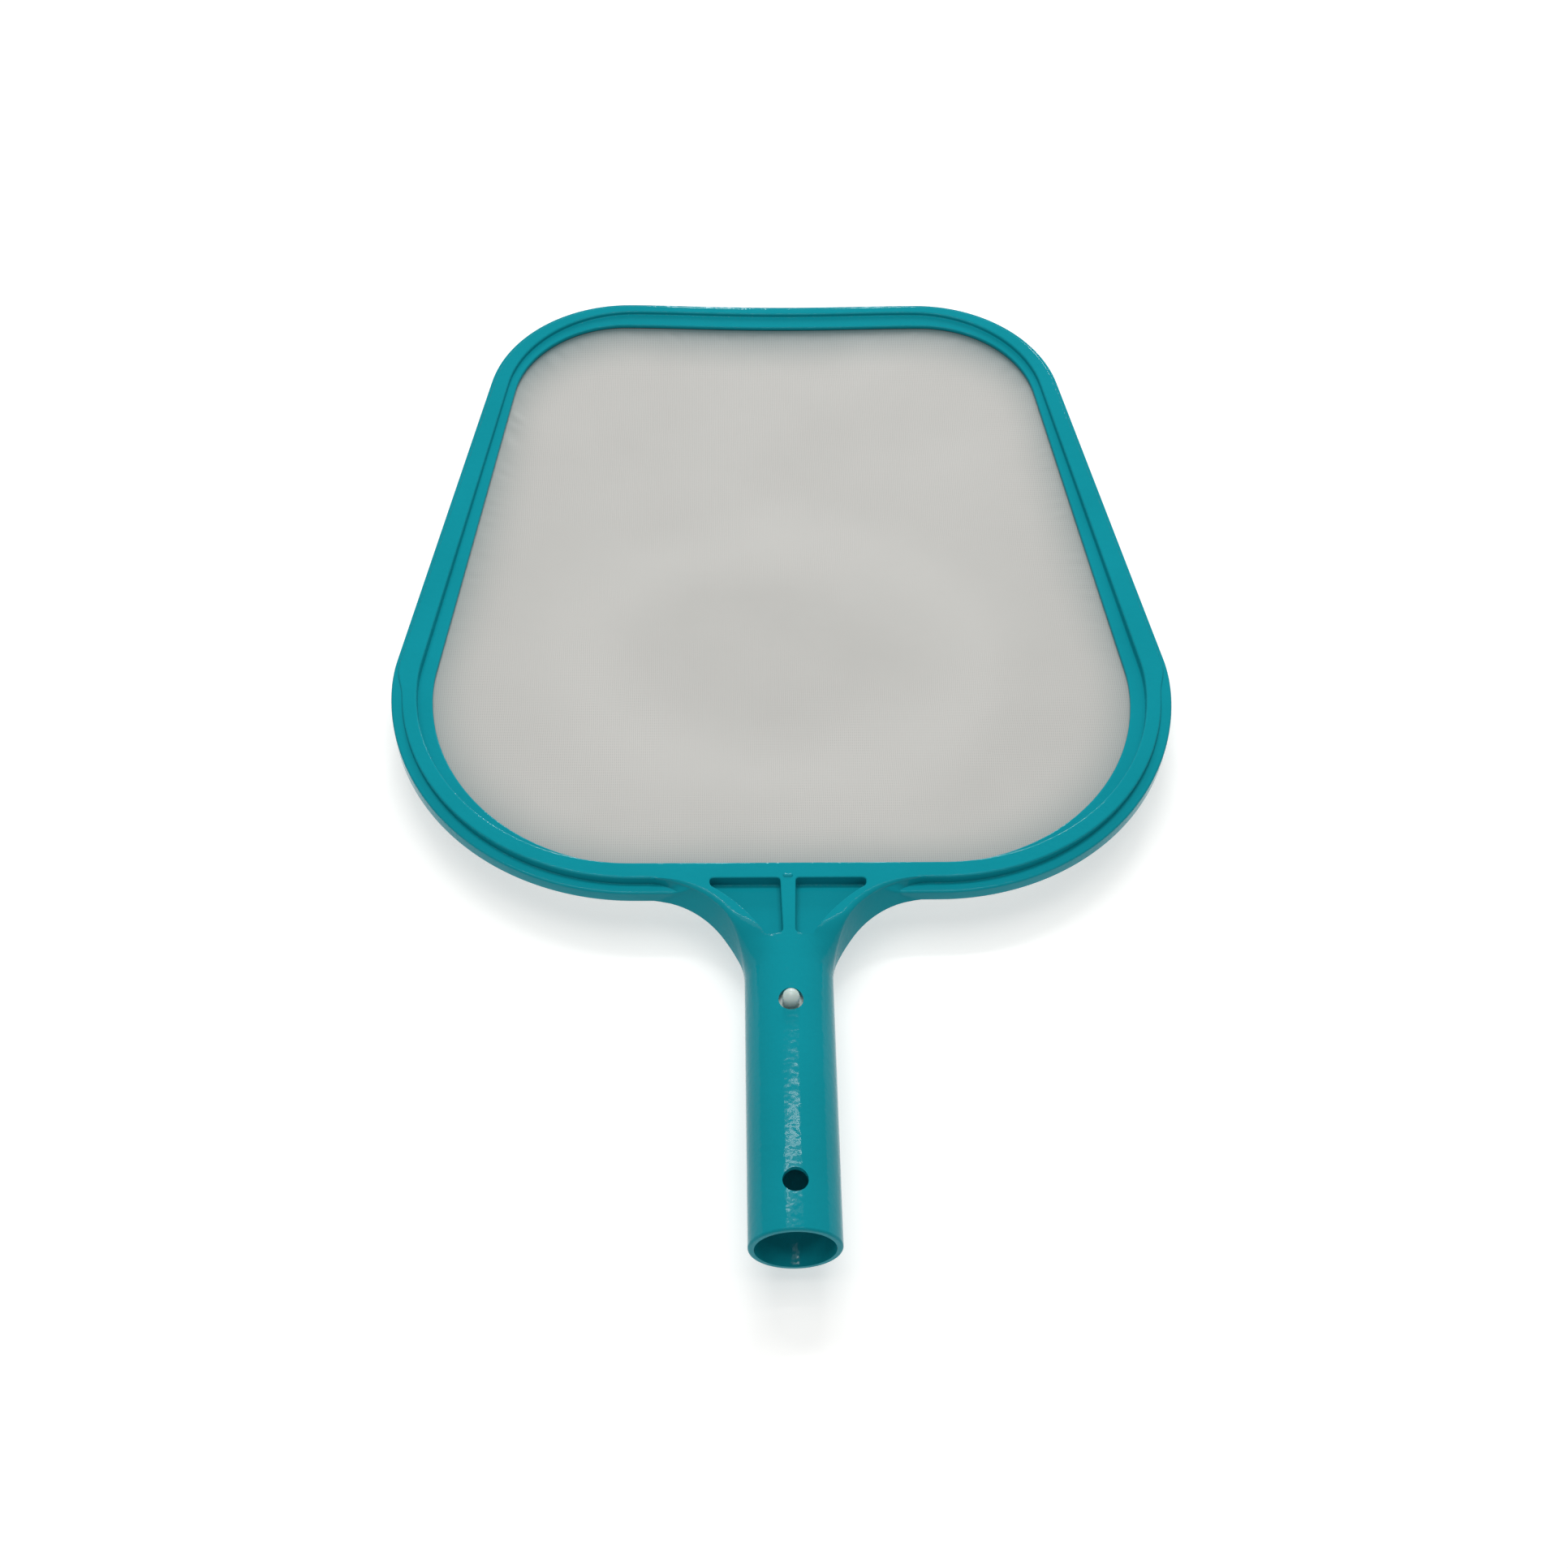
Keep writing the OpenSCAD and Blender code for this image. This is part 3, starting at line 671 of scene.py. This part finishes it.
# ---------- gusset and tube ----------
NECK_STEPS = 40
POCKET_STEPS = 14
CORNER_ASPECT = 2.2   # width over height of the gusset's soft corners
SEAM = 0.0008 * MM   # keeps a section's two top points apart where the neck leaves the round tube
LOW_GAP = 0.4 * MM   # from the hoop's underside up to the gusset's
RISE_GAP = 2 * MM   # from the tube's closed end to where the gusset's underside starts to rise
ROOT = 1 * MM   # how far the keel's ends reach into what they join
PAST = 1 * MM   # how far the bore's cutter starts outside the open end


def gusset_low_z(hoop, top_z):
    """The height of the gusset's underside at the hoop."""
    return top_z - hoop.lip_drop - hoop.lip_t - hoop.rebate_h + LOW_GAP


def closed_y(handle):
    """Where the tube's closed end lies."""
    return handle.bore_len + handle.end_wall


def neck_centre(hoop, handle):
    """The centre of the right neck curve."""
    return Vector((handle.tube_d / 2 + handle.neck_r, near_y(hoop) + hoop.ledge_w - handle.neck_r))


def neck_section(hoop, handle, top_z, w, y):
    """A section across the neck, half as wide as w along its top: round corners and slanting sides."""
    tube_r = handle.tube_d / 2
    centre = neck_centre(hoop, handle)
    begun = ramp((y - centre.y) / handle.neck_fade)
    tubular = 1 - ramp((y - centre.y) / handle.corner_fade)
    r = handle.neck_edge + (tube_r - SEAM - handle.neck_edge) * tubular
    wide = min(w - SEAM, CORNER_ASPECT * r)
    rise_y = closed_y(handle) + RISE_GAP
    share = max(0.0, min(1.0, (y - rise_y) / (near_y(hoop) - rise_y)))
    low = -handle.neck_sink + (gusset_low_z(hoop, top_z) + handle.neck_sink) * share
    # the lower edge keeps the ledge's width outside the top edge
    reach = min(handle.neck_r, y - centre.y + hoop.ledge_w)
    foot = w + (centre.x - sqrt(handle.neck_r ** 2 - reach ** 2) - w) * begun
    corner = quarter(0, 0, 1, 0, TUBE_STEPS // 4)
    right = [Vector((foot, y, low))]
    right += [Vector((w - wide + wide * p, y, top_z - r + r * q)) for p, q in corner]
    return right + [Vector((-p.x, p.y, p.z)) for p in reversed(right)]


def neck_solid(hoop, handle, top_z):
    """The gusset: round as the tube where it leaves it, flat where it meets the hoop."""
    centre = neck_centre(hoop, handle)
    spots = arc(centre, handle.neck_r, pi, pi / 2, NECK_STEPS)
    # the last section lies under the ridge, back from its rounded inner edge
    ridge_y = near_y(hoop) + hoop.ledge_w + hoop.near_ridge_w
    spots.append(Vector((centre.x, ridge_y - 1.2 * hoop.edge_r)))
    return lofted("neck", [neck_section(hoop, handle, top_z, *spot) for spot in spots])


def pocket_line(hoop, handle):
    """The right pocket's outline, seen from above."""
    near = handle.bore_len + handle.pocket_start
    far = near_y(hoop) + hoop.ledge_w
    # the near end slants a little, from the foot back to the rib
    foot = Vector((handle.pocket_foot, near - 0.2 * MM))
    root = Vector((handle.rib_w_tube / 2, near + 0.4 * MM))
    corner = Vector((handle.pocket_half, far - handle.pocket_end))
    # the side from the corner to the foot bulges inwards along a circle
    d = foot - corner
    chord, r = d.length, handle.pocket_curve
    inward = Vector((d.y, -d.x)) / chord
    if inward.x > 0:
        inward = -inward
    height = sqrt(r * r - chord * chord / 4)
    side = []
    for j in range(POCKET_STEPS + 1):
        t = j / POCKET_STEPS
        across = (t - 0.5) * chord
        side.append(corner.lerp(foot, t) + inward * (sqrt(r * r - across * across) - height))
    raw = [Vector((handle.rib_w / 2, far)), Vector((handle.pocket_half, far)), *side, root]
    turn = (handle.pocket_round, 5)
    cuts = [(0.8 * handle.pocket_round, 5), (handle.pocket_round, 6), turn]
    cuts += [None] * (POCKET_STEPS - 1) + [turn, turn]
    return rounded(raw, cuts)


def grown(line, by):
    """The closed line moved outwards by that much."""
    moved = []
    for j, p in enumerate(line):
        a = (p - line[j - 1]).normalized()
        b = (line[(j + 1) % len(line)] - p).normalized()
        along = (a + b).normalized()
        out = Vector((-along.y, along.x))
        moved.append(p + out * by / max(0.5, out.dot(Vector((-a.y, a.x)))))
    return moved


def pocket_tools(hoop, handle, top_z, side):
    """The top pocket with a rounded rim and floor edge, and the plain one under its web."""
    rim, floor = handle.pocket_rim, top_z - handle.pocket_d
    line = pocket_line(hoop, handle)
    # how far the outline has grown at each height: round the floor's edge, then round the rim,
    # which stops a little short of level and runs out above the surface
    stack = quarter(-rim, floor + rim, rim, -pi / 2, 4)
    turns = [radians(19 * j) for j in range(5)]
    stack += [(rim * (1 - cos(a)), top_z - rim + rim * sin(a)) for a in turns]
    stack.append((rim, top_z + 0.6 * MM))
    turn = Matrix.Scale(side, 3, (1, 0, 0))
    rings = [[turn @ Vector((*p, z)) for p in grown(line, by)] for by, z in stack]
    low = [(p.x, min(p.y, near_y(hoop))) for p in line]
    heights = (-handle.tube_d / 2, floor - handle.web_t)
    under = lofted("under", [[turn @ Vector((*p, z)) for p in low] for z in heights])
    return lofted("pocket", rings), under


def keel_solid(hoop, handle, top_z):
    """The rib under the gusset that carries the tube's closed end to the hoop."""
    foot = (handle.end_wall - handle.tube_d) / 2
    start = handle.bore_len + ROOT
    tip_y, tip_z = near_y(hoop) + 2 * ROOT, gusset_low_z(hoop, top_z) + handle.neck_sink
    roof = top_z - handle.pocket_d - handle.web_t / 2
    shape = [(start, foot), (closed_y(handle), foot), (tip_y, tip_z), (tip_y, roof), (start, roof)]
    half = handle.rib_w_tube / 2
    return lofted("keel", [[Vector((x, *p)) for p in shape] for x in (-half, half)])


def block(name, low, high):
    """A plain cutting block between two corners."""
    rings = [
        [(low[0], low[1], z), (high[0], low[1], z), (high[0], high[1], z), (low[0], high[1], z)]
        for z in (low[2], high[2])
    ]
    return lofted(name, [[Vector(p) for p in ring] for ring in rings])


def tube_profile(handle):
    """Outer profile of the tube before it is bored, from its open end."""
    r, rim, end, far = handle.tube_d / 2, handle.rim_r, handle.end_wall / 2, closed_y(handle)
    line = [(AXIS, 0.0), *quarter(r - rim, rim, rim, -pi / 2)]
    return line + [*quarter(r - end, far - end, end, 0), (AXIS, far)]


def bore_profile(handle):
    """Profile of the bore, which flares by the mouth's rounding at the open end."""
    r, edge = handle.tube_d / 2 - handle.wall, handle.mouth_edge
    line = [(AXIS, -PAST), (r + edge, -PAST), *reversed(quarter(r + edge, edge, edge, -pi))]
    return line + [(r, handle.bore_len), (AXIS, handle.bore_len)]


def gate_pip(hoop, top_z):
    """The small raised pip where the moulding's gate was trimmed: a short bar with round ends."""
    r = half = 0.9 * MM
    profile = quarter(AXIS / 2, -half, r, -pi / 2)
    profile += [(p, -h) for p, h in reversed(profile)]
    pip = turned("pip", profile, "Z", steps=32)
    place = Matrix.Translation((0, near_y(hoop) + hoop.ledge_w + r, top_z - r / 2))
    pip.data.transform(place @ Matrix.Rotation(pi / 2, 4, "Y"))
    return pip


def hole_cutter(handle, y):
    """A rod across the tube that opens a pair of pin holes."""
    r, reach = handle.hole_d / 2, 1.2 * handle.tube_d / 2
    profile = [(AXIS, -reach), (r, -reach), (r, reach), (AXIS, reach)]
    return turned("hole", profile, "Z", (0, y, 0), TUBE_STEPS // 2)


class SKIMMER_OT_frame(bpy.types.Operator):
    """Mould the hoop, gusset and handle tube as one piece"""

    bl_idname = "skimmer.frame"
    bl_label = "Moulded Frame"

    def execute(self, context):
        hoop, handle = context.scene.skimmer_hoop, context.scene.skimmer_handle
        top_z = tube_r = handle.tube_d / 2
        neck_y = neck_centre(hoop, handle).y
        body = hoop_solid(hoop, top_z)
        cut_or_join(body, neck_solid(hoop, handle, top_z), "UNION")
        for side in (1, -1):
            for tool in pocket_tools(hoop, handle, top_z, side):
                cut_or_join(body, tool, "DIFFERENCE")
        # the neck takes the place of the tube's top half from where it leaves the tube
        tube = turned("tube", tube_profile(handle), "Y")
        top_half = block("top", (-tube_r, neck_y, 0), (tube_r, 2 * closed_y(handle), 2 * tube_r))
        cut_or_join(tube, top_half, "DIFFERENCE")
        for part in (tube, keel_solid(hoop, handle, top_z), gate_pip(hoop, top_z)):
            cut_or_join(body, part, "UNION")
        cut_or_join(body, turned("bore", bore_profile(handle), "Y"), "DIFFERENCE")
        for y in (handle.spare_y, handle.clip_y):
            cut_or_join(body, hole_cutter(handle, y), "DIFFERENCE")
        body.name = "moulded_frame"
        smooth(body)
        dress(body, finish(moulded_polypropylene, context.scene), "teal_polypropylene", "frame")
        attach(body, "skimmer_frame")
        return {"FINISHED"}


# ---------- net and clamp ring ----------
EDGE_STEP = 1.3 * MM   # from one point of the net's edge to the next
LIP_STEP = 1 * MM   # the same along the lip, where the net's distance from it is measured
SAG_REACH = 95 * MM   # the net hangs to its full depth this far in from the lip
INNERMOST = 0.06   # size of the net's innermost ring of points, as a share of its edge


def under_lip(hoop, top_z, depth, p, z=0.0):
    """The place of a flat point p that lies depth below the lip's underside, z above that plane."""
    tilt = atan(lip_slope(hoop))
    y = p[1] - near_y(hoop)
    base = top_z - hoop.lip_drop - hoop.lip_t - depth
    along, up = y * cos(tilt) - z * sin(tilt), y * sin(tilt) + z * cos(tilt)
    return Vector((p[0], near_y(hoop) + along, base + up))


def evened(line, spacing):
    """The closed line again, with points about spacing apart."""
    points = []
    total = sum((b - a).length for a, b in zip(line, line[1:] + line[:1]))
    count = int(total / spacing)
    step, walked, aim = total / count, 0.0, 0.0
    for a, b in zip(line, line[1:] + line[:1]):
        length = (b - a).length
        while aim < walked + length and len(points) < count:
            points.append(a.lerp(b, (aim - walked) / length))
            aim += step
        walked += length
    return points


def net_centre(hoop):
    """The flat point that the net's rings of points close in on."""
    return Vector((0, (near_y(hoop) + hoop.far_y) / 2))


def net_height(hoop, net, p, inside):
    """How far a point of the net, inside the lip by that distance, lies off its flat plane."""
    sag = -net.sag * ramp(inside / SAG_REACH)
    # pleats run in from the lip: they change fast along it and slowly inwards
    away = (p - net_centre(hoop)).normalized()
    turn = Vector((away.x, away.y, 0)) * 9
    pleat = noise.noise(turn * 4.0 + Vector((0, 0, inside / (30 * MM))))
    fine = noise.noise(turn * 11.0 + Vector((3.1, 0, inside / (14 * MM))))
    # they are strongest on the far half and on the left, right beside the lip
    side = 0.35 + 0.65 * ramp((p.y - hoop.hip_y + 60 * MM) / (120 * MM))
    side *= 1.0 if p.x < 0 else 0.6
    grip = ramp(inside / (3 * MM)) * (1 - ramp(inside / net.pucker_reach))
    wave = 0.12 * MM * noise.noise(Vector((p.x, p.y, 0)) / (26 * MM)) * ramp(inside / (15 * MM))
    return sag + net.pucker * side * grip * (pleat + 0.6 * fine) + wave


def edge_shade(hoop, net, p, inside):
    """How much painted shade the lip lays on the net at p, 1 right beside it: most along the far edge.
    """
    reach = net.shade_reach * (1 + 0.5 * ramp((p.y - hoop.far_y + 70 * MM) / (50 * MM)))
    near = max(0.0, 1 - inside / reach)
    return near ** 2 * (0.55 + 0.45 * ramp((p.y - hoop.far_y + 60 * MM) / (40 * MM)))


def tightness(net, p):
    """How much painted light pales the net at p: most in a soft ring about its middle, some outside it.
    """
    away = hypot(p.x / net.ring_half_x, (p.y - net.ring_y) / net.ring_half_y)
    soft = 0.3 + 0.25 * noise.noise(Vector((p.x, p.y, 0)) / (50 * MM))
    return max(0.0, 0.36 * exp(-(((away - 1) / soft) ** 2)) + 0.14 * ramp(away - 0.8))


def ring_shares():
    """Sizes of the net's rings of points: close together beside the lip, wider apart inside."""
    shares = [1.0]
    while shares[-1] > INNERMOST:
        shares.append(shares[-1] - (0.008 + 0.022 * ramp((1.0 - shares[-1]) / 0.35)))
    return shares


def net_mesh(hoop, net, top_z, edge):
    """The cloth inside its edge, with its painted shade and painted light in two attributes."""
    centre = net_centre(hoop)
    lip = evened(lip_line(hoop), LIP_STEP)
    widths = [min((p - q).length for q in lip) for p in edge]
    depth = net.seat_gap + net.net_t / 2
    points, shades, lighter = [], [], []
    shares = ring_shares()
    for share in shares:
        for p, width in zip(edge, widths):
            q = centre.lerp(p, share)
            inside = max(0.0, (p - q).length - width)
            points.append(under_lip(hoop, top_z, depth, q, net_height(hoop, net, q, inside)))
            shades.append(edge_shade(hoop, net, q, inside))
            lighter.append(tightness(net, q))
    # the middle has no direction from itself, so its height is taken 1 mm beside it
    low = net_height(hoop, net, centre + Vector((MM, 0)), SAG_REACH)
    points.append(under_lip(hoop, top_z, depth, centre, low))
    shades.append(0.0)
    lighter.append(tightness(net, centre))
    m, n = len(edge), len(shares)
    faces = band_faces(m, n)
    faces += [((n - 1) * m + j, (n - 1) * m + (j + 1) % m, n * m) for j in range(m)]
    mesh = bpy.data.meshes.new("woven_net")
    mesh.from_pydata(points, [], faces)
    mesh.shade_smooth()
    # painted shade beside the lip and painted light in the ring, one value per point
    for name, values in (("painted_lip_shade", shades), ("painted_light_ring", lighter)):
        mesh.attributes.new(name, "FLOAT", "POINT").data.foreach_set("value", values)
    return mesh


class SKIMMER_OT_net(bpy.types.Operator):
    """Stretch the woven net under the hoop's lip"""

    bl_idname = "skimmer.net"
    bl_label = "Woven Net"

    def execute(self, context):
        hoop, net = context.scene.skimmer_hoop, context.scene.skimmer_net
        top_z = context.scene.skimmer_handle.tube_d / 2
        edge = evened(ridge_line(hoop, net.ring_gap), EDGE_STEP)
        piece = bpy.data.objects.new("woven_net", net_mesh(hoop, net, top_z, edge))
        context.scene.collection.objects.link(piece)
        dress(piece, finish(woven_nylon, context.scene), "nylon_mesh", "net")
        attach(piece, "skimmer_frame")
        return {"FINISHED"}


class SKIMMER_OT_clamp_ring(bpy.types.Operator):
    """Mould the ring that presses the net up under the lip"""

    bl_idname = "skimmer.clamp_ring"
    bl_label = "Clamp Ring"

    def execute(self, context):
        hoop, net = context.scene.skimmer_hoop, context.scene.skimmer_net
        top_z = context.scene.skimmer_handle.tube_d / 2
        ring_t = hoop.rebate_h - net.net_t - 2 * net.seat_gap
        depth = 2 * net.seat_gap + net.net_t
        edge = (0.3 * MM, 2)
        rings = []
        for out, inn in zip(ridge_line(hoop, net.ring_gap), lip_line(hoop, net.ring_back)):
            spots = ((out, 0), (out, ring_t), (inn, ring_t), (inn, 0))
            corners = [under_lip(hoop, top_z, depth + z, p) for p, z in spots]
            rings.append(rounded(corners, [edge] * 4))
        piece = lofted("clamp_ring_moulding", rings, closed=True)
        smooth(piece)
        dress(piece, finish(moulded_polypropylene, context.scene), "teal_polypropylene", "clamp_ring")
        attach(piece, "skimmer_frame")
        return {"FINISHED"}


# ---------- spring clip ----------
TANGENT = 1.04   # brings the leg's angle onto the tangent from the bend to the kink


def clip_path(handle, clip):
    """The strip's line in the Y-Z plane: the bend's middle, the leg's angle, its kink and its tip."""
    bore_r = handle.tube_d / 2 - handle.wall
    pad_z = sqrt(bore_r ** 2 - clip.leg_w ** 2 / 4) - clip.pad_gap - clip.leg_t / 2
    bend_y = handle.clip_y - clip.leg_len
    kink = Vector((handle.clip_y - clip.pad_back, pad_z))
    leg_a = asin((pad_z - clip.bend_r) / hypot(kink.x - bend_y, pad_z)) * TANGENT
    tip = Vector((handle.clip_y + clip.pin_d / 2 + clip.pad_tail, pad_z))
    return bend_y, leg_a, kink, tip


def strip_rings(path, clip, side, shares=()):
    """Rounded sections of the strip, square to a path in the Y-Z plane.  The last sections keep
    only the given shares of its thickness."""
    rings = []
    thick = [1.0] * (len(path) - len(shares)) + list(shares)
    for k, (p, share) in enumerate(zip(path, thick)):
        a, b = path[max(0, k - 1)], path[min(len(path) - 1, k + 1)]
        along = (b - a).normalized()
        up = Vector((-along.y, along.x))
        corners = [
            Vector((x * clip.leg_w / 2, *(p + up * z * share * clip.leg_t / 2)))
            for x, z in ((-1, -1), (1, -1), (1, 1), (-1, 1))
        ]
        ring = rounded(corners, [(clip.edge_r, 3)] * 4)
        rings.append([Vector((q.x, q.y, side * q.z)) for q in ring])
    return rings


def clip_leg(name, handle, clip, start, side):
    """A leg from its start at the hinge line, with its rounded end and its domed pin."""
    kink, tip = clip_path(handle, clip)[2:]
    path = [start.lerp(kink, j / 24) for j in range(24)]
    soft = eased_corner(path[-1], kink, tip, 2 * MM, 6)
    path = path[:-1] + soft + [kink.lerp(tip, t) for t in (0.4, 0.7, 1)]
    turns = [radians(15 * j) for j in range(1, 6)]
    path += [tip + Vector((sin(a) * clip.leg_t / 2, 0)) for a in turns]
    leg = lofted(name, strip_rings(path, clip, side, [cos(a) for a in turns]))
    pin_r, pin_top = clip.pin_d / 2, handle.tube_d / 2 + clip.pin_proud
    root = kink.y + 0.2 * clip.leg_t
    profile = [(AXIS, root), (pin_r, root), *quarter(AXIS, pin_top - pin_r, pin_r, 0, 12)]
    pin = turned("pin", profile, "Z", (0, handle.clip_y, 0), TUBE_STEPS // 2)
    pin.data.transform(Matrix.Scale(side, 4, (0, 0, 1)))
    if side < 0:
        pin.data.flip_normals()
    cut_or_join(leg, pin, "UNION")
    return leg


class SKIMMER_OT_clip(bpy.types.Operator):
    """Mould the V-shaped spring clip with its two domed pins"""

    bl_idname = "skimmer.clip"
    bl_label = "Spring Clip"

    def execute(self, context):
        handle, clip = context.scene.skimmer_handle, context.scene.skimmer_clip
        white = finish(moulded_acetal, context.scene)
        bend_y, leg_a, kink, _ = clip_path(handle, clip)
        reach = pi / 2 + leg_a
        turns = [-reach + 2 * reach * j / 40 for j in range(41)]
        line = [Vector((bend_y - clip.bend_r * cos(a), clip.bend_r * sin(a))) for a in turns]
        bend = lofted("clip_bend_strip", strip_rings(line, clip, 1))
        smooth(bend)
        dress(bend, white, "white_acetal", "clip_bend")
        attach(bend, "skimmer_frame")
        bend_end = Vector((bend_y - clip.bend_r * sin(leg_a), clip.bend_r * cos(leg_a)))
        start = bend_end + polar(clip.hinge_gap, leg_a)
        # each leg starts a hinge gap past the bend's end
        for side, name in ((1, "top"), (-1, "bottom")):
            leg = clip_leg(f"clip_{name}_strip", handle, clip, start, side)
            smooth(leg)
            dress(leg, white, "white_acetal", f"clip_{name}_leg")
            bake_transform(leg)
        return {"FINISHED"}


# ---------- stage ----------
SENSOR = 36.0   # width in mm
IMAGE_SIDE = 1932
FOCAL_PIXELS = 2670
CAMERA_PLACE = Vector((-21.60, -267.20, 597.06)) * MM
AZIMUTH, ELEVATION, ROLL = radians(2.823), radians(53.72), radians(2.077)
WORLD_TINT, WORLD_STRENGTH = (0.9, 0.92, 0.93, 1), 0.28

# each light's place, aim, width, height and power; the small ones are four over the tube that
# draw its highlight, two tall ones behind for the near ridge, one for the left pocket's rim
# and a low one in front that fills the tube's mouth
KEY_LIGHT = ((-0.1, 0.1, 1.5), (-0.1, 0.15, 0), 1.3, 0.8, 8.6)
KEY_TINT = (1.0, 0.99, 0.97)
SMALL_LIGHTS = (
    ((-0.022, 0.2775, 0.5), (0, 0.03, 0.014), 0.35, 0.030, 0.85),
    ((-0.022, 0.306, 0.5), (0, 0.045, 0.014), 0.35, 0.022, 0.12),
    ((-0.022, 0.331, 0.5), (0, 0.06, 0.014), 0.35, 0.022, 0.015),
    ((-0.022, 0.234, 0.5), (0, 0.006, 0.014), 0.35, 0.020, 0.07),
    ((-0.028, 1.17, 0.38), (-0.02, 0.13, 0), 0.06, 0.3, 2.2),
    ((0.10, 1.17, 0.38), (0.03, 0.13, 0), 0.05, 0.3, 1.5),
    ((0.40, 1.08, 0.36), (-0.01, 0.11, 0), 0.07, 0.35, 1.5),
    ((0.0, -0.95, 0.5), (0, 0.08, 0), 0.9, 0.5, 1.1),
)


def area_light(name, place, aim, width, height, power, colour=(1.0, 1.0, 1.0)):
    """A rectangular light at place that faces aim."""
    made = bpy.data.lights.new(name, "AREA")
    made.shape = "RECTANGLE"
    made.size, made.size_y = width, height
    made.energy = power
    made.color = colour
    lamp = bpy.data.objects.new(name, made)
    lamp.location = place
    lamp.rotation_mode = "QUATERNION"
    lamp.rotation_quaternion = (Vector(aim) - Vector(place)).to_track_quat("-Z", "Y")
    bpy.context.scene.collection.objects.link(lamp)


def add_camera(scene):
    """The camera over the handle, looking down along the net."""
    flat = cos(ELEVATION)
    forward = Vector((sin(AZIMUTH) * flat, cos(AZIMUTH) * flat, -sin(ELEVATION)))
    level = Vector((cos(AZIMUTH), -sin(AZIMUTH), 0))
    upright = level.cross(forward)
    right = cos(ROLL) * level + sin(ROLL) * upright
    up = -sin(ROLL) * level + cos(ROLL) * upright
    data = bpy.data.cameras.new("camera")
    data.sensor_width = SENSOR
    data.lens = FOCAL_PIXELS * SENSOR / IMAGE_SIDE
    data.clip_start, data.clip_end = 0.01, 50
    camera = bpy.data.objects.new("camera", data)
    turn = Matrix((right, up, -forward)).transposed().to_4x4()
    camera.matrix_world = Matrix.Translation(CAMERA_PLACE) @ turn
    scene.collection.objects.link(camera)
    scene.camera = camera


def floor_solid(hoop, handle, clip):
    """A sheet of paper under the head, which rests on its lower pin and on the hoop's far edge,
    so the paper leans to meet both."""
    pin = Vector((handle.clip_y, -handle.tube_d / 2 - clip.pin_proud))
    under = handle.tube_d / 2 - hoop.lip_t - hoop.rebate_h - lip_depth(hoop, hoop.far_y)
    edge = Vector((hoop.far_y, under))
    slope = (edge.y - pin.y) / (edge.x - pin.x)
    half, clear = 6.0, 0.3 * MM
    rings = []
    for thick in (10 * MM, 0):
        corners = ((-half, -half), (half, -half), (half, half), (-half, half))
        heights = [pin.y + (y - pin.x) * slope - clear - thick for _, y in corners]
        rings.append([Vector((*spot, z)) for spot, z in zip(corners, heights)])
    return lofted("floor", rings)


class SKIMMER_OT_stage(bpy.types.Operator):
    """Lay the pale floor and set the lights and the camera"""

    bl_idname = "skimmer.stage"
    bl_label = "Stage"

    def execute(self, context):
        scene = context.scene
        floor = floor_solid(scene.skimmer_hoop, scene.skimmer_handle, scene.skimmer_clip)
        floor.data.materials.append(finish(matt_paper, scene))
        area_light("key", *KEY_LIGHT, KEY_TINT)
        for light in SMALL_LIGHTS:
            area_light("small", *light)
        world = bpy.data.worlds.new("studio")
        world.use_nodes = True
        background = world.node_tree.nodes["Background"]
        background.inputs["Color"].default_value = WORLD_TINT
        background.inputs["Strength"].default_value = WORLD_STRENGTH
        scene.world = world
        scene.view_settings.view_transform = "Standard"
        add_camera(scene)
        return {"FINISHED"}


class SKIMMER_PT_panel(bpy.types.Panel):
    """Buttons that build the skimmer head piece by piece"""

    bl_idname = "SKIMMER_PT_panel"
    bl_label = "Leaf Skimmer Head"
    bl_space_type = "VIEW_3D"
    bl_region_type = "UI"
    bl_category = "Skimmer"

    def draw(self, context):
        for step in OPERATORS:
            self.layout.operator(step.bl_idname)
        for name, group in GROUPS.items():
            box = self.layout.box()
            box.label(text=group.__doc__)
            for key in group.__annotations__:
                box.prop(getattr(context.scene, name), key)


OPERATORS = (SKIMMER_OT_frame, SKIMMER_OT_net, SKIMMER_OT_clamp_ring, SKIMMER_OT_clip, SKIMMER_OT_stage)


def register():
    for made in (*GROUPS.values(), *OPERATORS, SKIMMER_PT_panel):
        bpy.utils.register_class(made)
    for name, group in GROUPS.items():
        setattr(bpy.types.Scene, name, PointerProperty(type=group))


def unregister():
    for name in GROUPS:
        delattr(bpy.types.Scene, name)
    for made in reversed((*GROUPS.values(), *OPERATORS, SKIMMER_PT_panel)):
        bpy.utils.unregister_class(made)


def main():
    register()
    bpy.ops.skimmer.frame()
    bpy.ops.skimmer.clamp_ring()
    bpy.ops.skimmer.net()
    bpy.ops.skimmer.clip()
    bpy.ops.skimmer.stage()


if __name__ == "__main__":
    main()
